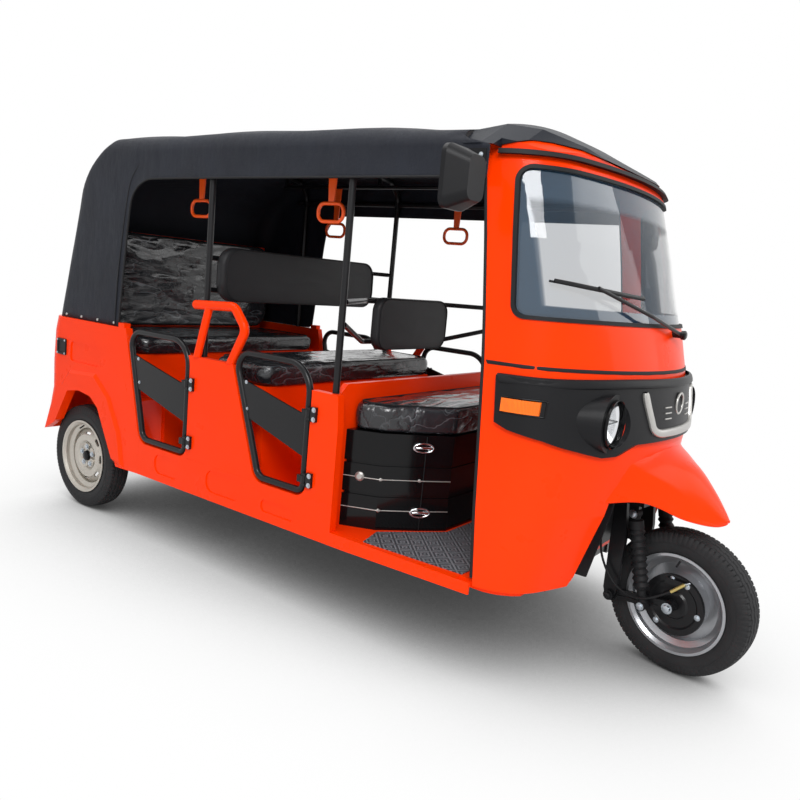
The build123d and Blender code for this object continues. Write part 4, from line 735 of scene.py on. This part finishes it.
def front_suspension():
    """Nuts and bolts of the leading-link fork, the cable's fittings, the levers and the instrument."""
    for side, name in SIDES:
        steer_bolt("axle_nut_" + name, side * 0.098, 0, TYRE_R, 0.0125)
        steer_bolt("link_bolt_" + name, side * 0.1105, 0.208, 0.218, 0.012, "black_paint")
        steer_bolt("damper_foot_bolt_" + name, side * 0.1165, 0.084, 0.226, 0.009)
        steer_bolt("damper_head_bolt_" + name, side * 0.1165, 0.147, 0.534, 0.010)
        for number, low in enumerate((0.040, 0.120)):
            rib = [(side * 0.0846, low + run, 0.2445 - 0.14 * (low + run + 0.01))
                   for run in (0, 0.0325, 0.065)]
            steer_tube("link_rib_%s_%d" % (name, number), rib, 0.0028, "black_paint")
    plate_bolts = ((0.012, 0.088), (-0.040, 0.080), (-0.086, -0.012), (0.05, -0.074))
    for number, (station, rise) in enumerate(plate_bolts):
        steer_bolt("brake_plate_bolt_%d" % number, -0.0572, station, TYRE_R + rise, 0.0068)
    ferrule = ((-0.074, -0.037, 0.3375), (-0.0805, -0.019, 0.3205), (-0.0875, -0.001, 0.3035))
    steer_tube("cable_ferrule", ferrule, 0.0062, "brass")
    end = steered(-0.068, -0.030, 0.333)
    wire = [end, end + Vector((0.0, -0.012, 0.006)), end + Vector((0.004, -0.02, 0.01))]
    tube("cable_end", wire, 0.003, "zinc", "steering")
    for side, name in SIDES:
        root = Vector((side * 0.205, on_bar(0.163), 1.010))
        knee = Vector((side * 0.222, on_bar(0.140), 1.002))
        tip = Vector((side * 0.268, on_bar(0.158), 1.000))
        steer_tube("brake_lever_" + name, [root, knee, (knee + tip) / 2, tip], 0.0055, "satin_chrome")
    face = frame_to(STEERED.to_3x3() @ Vector((0, 0.55, 0.83)), steered(0, on_bar(0.03), 1.030))
    dial = [(0, -0.03), (0.040, -0.03), (0.052, 0.0), (0.052, 0.016), (0.046, 0.019), (0.046, 0.013),
            (0, 0.013)]
    lathe("instrument", dial, face, "black_plastic", "steering")


def on_bar(offset):
    """Station of a place on the handlebar, by its distance behind the stem's clamp."""
    return PIVOT_STATION + (CLAMP_Z - PIVOT_Z) * tan(RAKE) + offset


def rear_wheels():
    """Both rear tyres with their wheel nuts, hub caps and valves."""
    cap = [(0, 0.017), (0.014, 0.0165), (0.0215, 0.012), (0.0235, 0.004), (0.0255, 0.0), (0.0, 0.0)]
    for side, name in SIDES:
        body = "rear_wheel_" + name
        outwards = Vector((side, 0, 0))
        centre = at(side * REAR_TRACK / 2, WHEELBASE, TYRE_R)
        place = Matrix.Translation(centre)
        tyre("rear_tread_" + name, "rear_tyre_" + name, place, body)
        for k, turn in enumerate(turns(5)):
            spot = centre + Vector((side * 0.0242, -0.044 * sin(turn), 0.044 * cos(turn)))
            bolt("wheel_nut_%s_%d" % (name, k), spot, outwards, 0.0088, "zinc", body)
        lathe("hub_cap_" + name, cap, frame_to(outwards, centre + outwards * 0.0225), "gloss_plastic", body)
        valve("rear_valve_" + name, place, 0.066 if side > 0 else -0.044, body)


# ---- seats
def resample(points, count):
    """Even points along a closed line."""
    lengths = [(b - a).length for a, b in zip(points, points[1:] + points[:1])]
    total, out, step, walked = sum(lengths), [], 0, 0.0
    for k in range(count):
        target = total * k / count
        while walked + lengths[step] < target:
            walked += lengths[step]
            step += 1
        part = (target - walked) / lengths[step]
        a, b = points[step], points[(step + 1) % len(points)]
        out.append(a + (b - a) * part)
    return out


def rounded_outline(corners, radius, arc=10):
    """A polygon's outline with rounded corners."""
    out = []
    count = len(corners)
    for i, here in enumerate(corners):
        before, after = corners[i - 1], corners[(i + 1) % count]
        u, v = (before - here).normalized(), (after - here).normalized()
        half = acos(max(-1, min(1, u.dot(v)))) / 2
        reach = min(radius / tan(half), (before - here).length * 0.45, (after - here).length * 0.45)
        r = reach * tan(half)
        centre = here + (u + v).normalized() * (r / sin(half))
        a, b = here + u * reach - centre, here + v * reach - centre
        turn = a.angle_signed(b)
        for k in range(arc + 1):
            angle = -turn * k / arc
            out.append(centre + Vector((a.x * cos(angle) - a.y * sin(angle),
                                        a.x * sin(angle) + a.y * cos(angle))))
    return out


# share of the outline and of the height for each ring of a pad, underside first
PAD_RINGS = [(0.0, 0.0), (0.5, 0.0), (0.9, 0.0), (0.965, 0.02), (0.985, 0.10), (0.994, 0.25), (1.0, 0.45),
             (0.998, 0.62), (0.990, 0.76), (0.975, 0.86), (0.950, 0.915), (0.915, 0.943), (0.87, 0.958),
             (0.82, 0.967), (0.76, 0.975), (0.70, 0.981), (0.63, 0.987), (0.56, 0.991), (0.48, 0.995),
             (0.40, 0.998), (0.32, 1.0), (0.24, 1.0), (0.16, 1.0), (0.08, 1.0), (0.0, 1.0)]
PAD_POINTS = 220


def pad(node, outline, low, high, place, finish, folds):
    """A crowned cushion over an outline; place puts (u, v, height) into the vehicle."""
    name = node.replace("back_", "") + "_soft"
    outline = resample(outline, PAD_POINTS)
    middle = sum(outline, Vector((0, 0))) / PAD_POINTS
    span = max((p - middle).length for p in outline)
    verts = []
    for share, rise in PAD_RINGS:
        fade = min(1, rise * 1.6) * (1 - 0.4 * (share > 0.94))
        for point in outline:
            arm = point - middle
            pull = 1 - 0.012 * (1 - arm.length / span) * sin(pi * rise)
            spot = middle + arm * share * pull
            ridge = abs(noise.noise(Vector((spot.x * 5.2, spot.y * 17, 3.1))))
            soft = noise.noise(Vector((spot.x * 3.1, spot.y * 3.7, 9.0)))
            sink = fade * (folds * ridge + 0.004 * (1 + soft))
            verts.append(place(spot.x, spot.y, low + (high - low) * rise - sink))
    faces = [f[::-1] for f in grid_faces(len(PAD_RINGS), PAD_POINTS, close_columns=True)]
    made = piece(name, verts, faces, finish)
    fuse(made, 2e-5)
    subdivide(made)
    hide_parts(node)
    seam = low + (high - low) * 0.915 - 0.003
    line = [place(*(middle + (p - middle) * 0.9535), seam) for p in resample(outline, 72)]
    tube(name + "_piping", line, 0.0026, "rubber", cyclic=True)


def box_outline(x, y, radius, arc=10):
    corners = [Vector((x[0], y[0])), Vector((x[1], y[0])), Vector((x[1], y[1])), Vector((x[0], y[1]))]
    return rounded_outline(corners, radius, arc)


def upright(depth):
    """A place for a back pad, whose height points forwards from its station."""
    return lambda x, z, height: at(x, depth - height, z)


def seats():
    plan = [(-0.530, 1.0777), (-0.475, 0.957), (-0.354, 0.850), (-0.274, 0.788)]
    corners = [Vector(p) for p in plan] + [Vector((-x, y)) for x, y in reversed(plan)]
    driver = rounded_outline(corners, 0.03)
    middle = box_outline((-0.559, 0.559), (1.471, 1.795), 0.055)
    rear = box_outline((-0.555, 0.555), (2.263, 2.689), 0.055)
    pad("driver_cushion", driver, 0.6855, 0.799, at, "wrapped", folds=0.014)
    pad("middle_cushion", middle, 0.7705, 0.867, at, "wrapped", folds=0.012)
    pad("rear_cushion", rear, 0.7905, 0.879, at, "wrapped", folds=0.012)
    driver = box_outline((-0.246, 0.246), (0.941, 1.149), 0.055)
    middle = box_outline((-0.499, 0.499), (1.066, 1.289), 0.075)
    rear = box_outline((-0.539, 0.539), (0.8815, 1.329), 0.08)
    pad("driver_back_pad", driver, 0.0, 0.049, upright(1.2455), "vinyl", folds=0.002)
    pad("middle_back_pad", middle, 0.0, 0.060, upright(1.8795), "vinyl", folds=0.002)
    pad("rear_back_pad", rear, 0.0, 0.069, upright(2.6992), "wrapped", folds=0.012)


# ---- smaller fittings
LAMP_X, LAMP_STATION, LAMP_Z = 0.376, 0.190, 0.856
SIGNAL_CORNERS = ((0.327, 0.869), (0.443, 0.869), (0.443, 0.915), (0.327, 0.915))
REFLECTOR = [(0.0695, 0.0), (0.066, -0.004), (0.050, -0.016), (0.030, -0.027), (0.014, -0.031), (0.0, -0.031)]
BULB = [(0.0, -0.004), (0.006, -0.006), (0.009, -0.012), (0.010, -0.02), (0.013, -0.021), (0.013, -0.031),
        (0, -0.031)]
LAMP_RING = [(0.0722, -0.003), (0.0722, 0.019), (0.0738, 0.0205), (0.0755, 0.019), (0.0755, -0.003)]


def lamps():
    """Reflector, bulb, sleeve and rings of each headlamp, and the frame round each turn signal."""
    for side, name in SIDES:
        x, y, z = side * LAMP_X, LAMP_STATION, LAMP_Z
        place = frame_to((0, -1, 0), at(x, y, z))
        lathe("reflector_" + name, REFLECTOR, place, "chrome")
        lathe("bulb_" + name, BULB, place, "satin_chrome", segments=24)
        sleeve = [(0.0712, -0.0115), (0.0712, -0.0333), (0.0, -0.0333)]
        lathe("lamp_sleeve_" + name, sleeve, place, "gloss_plastic")
        lathe("lamp_ring_" + name, LAMP_RING, place, "gloss_plastic")
        bar = [at(x - 0.064, y + 0.003, z), at(x, y - 0.001, z), at(x + 0.064, y + 0.003, z)]
        tube("reflector_bar_" + name, bar, 0.0022, "black_plastic")
        ring = [at(x + 0.0742 * cos(a), y + 0.004, z + 0.0742 * sin(a)) for a in turns(40)]
        tube("lamp_bezel_" + name, ring, 0.0026, "gloss_plastic", cyclic=True)
        loop = [side_spot(side, a + (c - a) * k / 6, b + (d - b) * k / 6, 0.0165)
                for (a, b), (c, d) in zip(SIGNAL_CORNERS, SIGNAL_CORNERS[1:] + SIGNAL_CORNERS[:1])
                for k in range(6)]
        tube("signal_frame_" + name, loop, 0.0028, "gloss_plastic", cyclic=True, order=2)


# fender sections: station, half width and height of the edge, then of the shoulder, and crown height
FENDER = [(0.196, 0.340, 0.600, 0.284, 0.748, 0.806), (0.110, 0.263, 0.612, 0.228, 0.703, 0.756),
          (0.055, 0.203, 0.592, 0.174, 0.671, 0.724), (0.005, 0.151, 0.563, 0.124, 0.631, 0.692),
          (-0.050, 0.097, 0.546, 0.078, 0.581, 0.634), (-0.086, 0.058, 0.541, 0.045, 0.556, 0.588),
          (-0.104, 0.028, 0.5445, 0.020, 0.550, 0.5625), (-0.1085, 0.010, 0.5480, 0.007, 0.550, 0.5560)]


def smooth_rows(rows, steps):
    """Rows between the given ones, on a Catmull-Rom line through every column."""
    out = []
    ends = [rows[0]] + list(rows) + [rows[-1]]
    for a, b, c, d in zip(ends, ends[1:], ends[2:], ends[3:]):
        for k in range(steps):
            t = k / steps
            out.append(tuple(0.5 * (2 * q + (r - p) * t + (2 * p - 5 * q + 4 * r - s) * t * t
                                    + (3 * q - p - 3 * r + s) * t ** 3) for p, q, r, s in zip(a, b, c, d)))
    return out + [rows[-1]]


def front_fender():
    """Pressed fender over the front wheel, with a rolled edge and a crease above it."""
    verts = []
    rows = smooth_rows(FENDER, 5)
    for station, edge, edge_z, shoulder, shoulder_z, crown in rows:
        half = [(edge - 0.006, edge_z - 0.004), (edge + 0.0025, edge_z), (edge + 0.003, edge_z + 0.006)]
        for k in (0.16, 0.28, 0.34, 0.5, 0.7, 0.88):
            out = 0.003 if k < 0.3 else 0.0
            half.append((edge + (shoulder - edge) * k + out, edge_z + (shoulder_z - edge_z) * k))
        rise = crown - shoulder_z
        radius = (shoulder ** 2 + rise ** 2) / (2 * rise)
        for k in range(14):
            x = shoulder * (1 - k / 13)
            half.append((x, crown - radius + sqrt(radius ** 2 - x * x)))
        for x, z in both_sides(half):
            skin = cowl_point(x, z).y + MID_STATION + 0.004
            verts.append(at(x, min(station, skin), z))
    made = piece("fender_skin", verts, grid_faces(len(rows), len(verts) // len(rows)), "paint")
    fuse(made, 1e-5)
    modifier(made, "SOLIDIFY", thickness=0.003, offset=-1)
    subdivide(made)
    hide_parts("front_fender")


def nose_frame():
    """Bright bar with rounded edges that follows points (x, z) on the nose, narrower at its ends."""
    half = [(-0.238, 0.951), (-0.222, 0.905), (-0.204, 0.862), (-0.190, 0.834), (-0.158, 0.820),
            (-0.10, 0.818), (0.0, 0.818)]
    width, depth, base = 0.026, 0.011, 0.015
    points = smooth_rows(both_sides(half), 6)
    section = [(-1, 0), (-1, 0.7), (-0.8, 1), (0, 1.08), (0.8, 1), (1, 0.7), (1, 0)]
    last = len(points) - 1
    verts = []
    for number, (x, z) in enumerate(points):
        ahead, before = points[min(number + 1, last)], points[max(number - 1, 0)]
        run = Vector((ahead[0] - before[0], ahead[1] - before[1])).normalized()
        reach = width / 2 * (0.55, 0.85, 1.0)[min(number, last - number, 2)]
        for across, high in section:
            spot = Vector((x, z)) + Vector((-run.y, run.x)) * across * reach
            verts.append(cowl_point(spot.x, spot.y, base + depth * high))
    made = piece("nose_frame", verts, grid_faces(len(points), len(section)), "satin_chrome", sharp=50)
    subdivide(made)
    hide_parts("nose_emblem")


def fascia_brow():
    """Lip along the fascia's upper edge, which drops and thins towards its ends."""
    xs = across((-0.588, -0.572, -0.53, -0.46, -0.39, -0.31, -0.23, -0.15, -0.07, 0.0))
    section = [(0.9905, 0.009), (0.9900, 0.0145), (0.9870, 0.019), (0.9700, 0.0225), (0.9650, 0.0215),
               (0.9630, 0.0155)]
    verts = []
    for x in xs:
        drop = 0.010 * min(1, max(0, (abs(x) - 0.30) / 0.25))
        swell = 0.010 * (1 - abs(x) / 0.6)
        verts += [cowl_point(x, z - drop, out + swell) for z, out in section]
    subdivide(piece("fascia_brow", verts, grid_faces(len(xs), len(section)), "black_plastic", sharp=60))


def side_spot(side, station, z, out):
    """Point of the cowl's flank at one station and height."""
    low, high = 0.30, 0.615
    for _ in range(40):
        middle = (low + high) / 2
        if cowl_point(side * middle, z).y + MID_STATION < station:
            low = middle
        else:
            high = middle
    return cowl_point(side * (low + high) / 2, z, out)


NOSE_OUT = 0.0175


def nose_trim():
    """Plain ring on the fascia's nose, and three short bars each side of it."""
    spot = cowl_point(0, 0.905, NOSE_OUT)
    ring = [spot + Vector((0.034 * cos(a), 0, 0.034 * sin(a))) for a in turns(36)]
    tube("nose_ring", ring, 0.0042, "satin_chrome", cyclic=True)
    for side, name in SIDES:
        for number, z in enumerate((0.862, 0.880, 0.898)):
            bar = [cowl_point(side * (0.075 + 0.045 * k / 3), z, NOSE_OUT) for k in range(4)]
            tube("nose_bar_%s_%d" % (name, number), bar, 0.0026, "satin_chrome")


def hinge_bolts():
    """Two bolts at each of the two hinges of every door."""
    for door, pin in (("front", 1.174), ("rear", 1.845)):
        for side, name in SIDES:
            for level, z in enumerate((0.494, 0.732)):
                for number, drop in enumerate((-0.017, 0.017)):
                    bolt_name = "hinge_bolt_%s_%s_%d_%d" % (door, name, level, number)
                    bolt(bolt_name, at(side * 0.6378, pin - 0.027, z + drop), (side, 0, 0), 0.0062)


def door_bolts():
    """Two small bolts by each door's latch."""
    for door, latch, z in (("front", 1.545, 0.79), ("rear", 2.225, 0.785)):
        for side, name in SIDES:
            for number, (station, height) in enumerate(((latch, z), (latch - 0.012, z - 0.10))):
                bolt("%s_door_bolt_%s_%d" % (door, name, number), at(side * 0.620, station - 0.03, height),
                     (side, 0, 0), 0.0048, "zinc", "door_%s_%s" % (door, name))


def plate(name, outline, rings, place, finish):
    """Small cover made of scaled copies of one outline; place puts (u, v, depth) into the vehicle."""
    verts = [place(p.x * scale, p.y * scale, depth) for scale, depth in rings for p in outline]
    faces = grid_faces(len(rings), len(outline), close_columns=True)
    fuse(piece(name, verts, faces, finish, sharp=30))


def charge_port():
    """Square black cover with four screws on the right rear quarter."""
    station, z, half, depth = 2.792, 0.764, 0.038, 0.007

    def place(u, v, out):
        return at(-HALF_W - out, station + u, z + v)

    rings = ((1.0, 0.0), (1.0, depth * 0.7), (0.95, depth), (0.72, depth), (0.68, depth * 0.4),
             (0.0, depth * 0.4))
    outline = box_outline((-half, half), (-half, half), 0.006, arc=4)
    plate("charge_port", outline, rings, place, "black_plastic")
    for number, (u, v) in enumerate(((-1, -1), (1, -1), (1, 1), (-1, 1))):
        bolt("port_screw_%d" % number, place(u * 0.031, v * 0.031, depth), (-1, 0, 0), 0.0034)


# bright line round the right half of the driver's seat box: across, station
BOX_LINE = ((-0.5335, 1.078), (-0.505, 1.016), (-0.4785, 0.957), (-0.4785, 0.957), (-0.418, 0.902),
            (-0.357, 0.847), (-0.357, 0.847), (-0.317, 0.815), (-0.278, 0.784))
BOX_LINE_HEIGHTS = (0.518, 0.404)
BOX_FACING = Vector((-0.109, -0.121, 0)).normalized()


def box_flank(part, z, out):
    """Point off the seat box's slanted right flank, where part runs 0 at the rear to 1 at the front."""
    rear, front = Vector((-0.476, 0.958)), Vector((-0.355, 0.849))
    spot = rear + (front - rear) * part
    return at(spot.x, spot.y, z) + BOX_FACING * out


def seat_box_fittings():
    """Round lock, oval latches, panel split, studs and bright lines of the driver's seat box."""
    for number, (part, z) in enumerate(((0.92, 0.640), (0.97, 0.400))):
        place = frame_to(BOX_FACING, box_flank(part, z, 0.002))
        ring = [place @ Vector((0.036 * cos(a), 0.016 * sin(a), 0.003)) for a in turns(24)]
        tube("latch_ring_%d" % number, ring, 0.0036, "chrome", cyclic=True)
        tongue = [place @ Vector(spot) for spot in ((-0.028, 0, 0.003), (0, 0.002, 0.008), (0.028, 0, 0.003))]
        tube("latch_tongue_%d" % number, tongue, 0.0060, "chrome")
    studs = [(part, z) for part in (0.03, 0.90) for z in BOX_LINE_HEIGHTS]
    for number, (part, z) in enumerate(studs):
        snap("box_rivet_%d" % number, box_flank(part, z, 0.001), BOX_FACING)
    for number, z in enumerate(BOX_LINE_HEIGHTS):
        line = [at(x, station, z) for x, station in BOX_LINE]
        tube("box_line_%d" % number, line, 0.0019, "satin_chrome", order=2)
    lock = [(0, 0.010), (0.010, 0.0095), (0.0125, 0.007), (0.016, 0.005), (0.018, 0.0), (0, 0.0)]
    rear_flank = frame_to((-0.1217, -0.056, 0), at(-0.506, 1.024, 0.520))
    lathe("box_lock", lock, rear_flank, "satin_chrome", segments=32)
    split = [box_flank(0.985, z, 0.0006) for z in (0.335, 0.45, 0.56, 0.68)]
    tube("box_split", split, 0.0016, "rubber")


def mirrors():
    """Silvered glass in each mirror's shell, and the screws of its bracket."""
    outline = box_outline((-0.054, 0.054), (-0.074, 0.074), 0.024, arc=6)
    rings = ((1.0, 0.5862), (1.0, 0.5875), (0.97, 0.5882), (0.5, 0.5882), (0.0, 0.5882))
    screws = [(station, z) for z in (1.600, 1.562) for station in (0.588, 0.632)]
    for side, name in SIDES:
        plate("mirror_glass_" + name, outline, rings,
              lambda u, v, depth: at(side * 0.762 + u, depth, 1.512 + v), "mirror")
        for number, (station, z) in enumerate(screws):
            bolt("mirror_screw_%s_%d" % (name, number), at(side * 0.6244, station, z), (side, 0, 0), 0.0048)


def wiper_fittings():
    """Rubber lip under the blade and the cap of the spindle."""
    blade = ((-0.530, 1.2605), (-0.497, 1.256), (-0.455, 1.251), (-0.42, 1.248), (-0.375, 1.2445),
             (-0.334, 1.241), (-0.28, 1.237), (-0.232, 1.2345))
    tube("wiper_rubber", [cowl_point(x, z - 0.001, 0.0015) for x, z in blade], 0.0034, "rubber")
    cap = [(0, 0.006), (0.010, 0.005), (0.0155, 0.001), (0.0155, -0.004), (0, -0.004)]
    lathe("wiper_cap", cap, frame_to((0, -1, 0), at(0.024, 0.125, 1.128)), "gloss_plastic", segments=32)


def cab_fittings():
    """Toggle switches on the shelf."""
    lever = [(0, 0.014), (0.004, 0.013), (0.0045, 0.002), (0.009, 0.0015), (0.010, 0.0), (0, 0.0)]
    for number, x in enumerate((-0.30, -0.26, -0.22)):
        place = frame_to((0, 0.25, 1), at(x, 0.43, 0.961))
        lathe("switch_%d" % number, lever, place, "satin_chrome", segments=16)


# ---- lights, floor and backdrop
FLOOR_HALF = 30.0
LAMP_AIM = Vector((0, 0, 0.6))


def studio():
    """Cool even sky that looks plain white, and three soft lamps."""
    world = bpy.data.worlds.new("studio")
    bpy.context.scene.world = world
    world.use_nodes = True
    world.node_tree.nodes.clear()
    sky = Nodes(world.node_tree)
    light = sky.node("Background", {"Color": (0.94, 0.97, 1.0, 1), "Strength": 0.42}).outputs[0]
    white = sky.node("Background", {"Color": (1, 1, 1, 1), "Strength": 1.0}).outputs[0]
    sky.node("OutputWorld", {"Surface": sky.split_rays(light, white)})
    lamp("key", (-4.4, -3.4, 4.4), 2.6, 270)
    lamp("fill", (3.0, -5.0, 3.0), 3.5, 70)
    lamp("top", (-0.8, 0.8, 5.2), 4.0, 130)


def lamp(name, origin, size, power):
    data = bpy.data.lights.new(name, "AREA")
    data.size = size
    data.energy = power
    made = placed(name, data)
    made.location = origin
    made.rotation_euler = (LAMP_AIM - Vector(origin)).to_track_quat("-Z", "Y").to_euler()


def floor():
    """Wide floor: matt to the light, and white under a neutral contact shadow to the camera."""
    mesh = bpy.data.meshes.new("floor")
    corners = [(x * FLOOR_HALF, y * FLOOR_HALF, 0) for x, y in ((-1, -1), (1, -1), (1, 1), (-1, 1))]
    mesh.from_pydata(corners, [], [(0, 1, 2, 3)])
    material = bpy.data.materials.new("floor")
    material.use_nodes = True
    material.node_tree.nodes.clear()
    ground = Nodes(material.node_tree)
    matt = ground.node("BsdfDiffuse", {"Color": (0.90, 0.90, 0.90, 1)}).outputs[0]
    shade = ground.node("AmbientOcclusion", {"Distance": 1.15}, samples=24).outputs["AO"]
    depth = ground.range(shade, 0.035, 1.0, 0.05, 0.94, interpolation_type="SMOOTHSTEP")
    white = ground.node("Emission", {"Color": depth, "Strength": 1.0}).outputs[0]
    ground.node("OutputMaterial", {"Surface": ground.split_rays(matt, white)})
    mesh.materials.append(material)
    placed("floor", mesh)


finish_nodes()
canopy_sheet()
canopy_trim()
cowl_trim()
front_wheel()
front_suspension()
rear_wheels()
seats()
lamps()
front_fender()
fascia_brow()
nose_frame()
nose_trim()
hinge_bolts()
door_bolts()
charge_port()
seat_box_fittings()
mirrors()
wiper_fittings()
cab_fittings()
camera()
studio()
floor()
bpy.context.scene.view_settings.view_transform = "Standard"
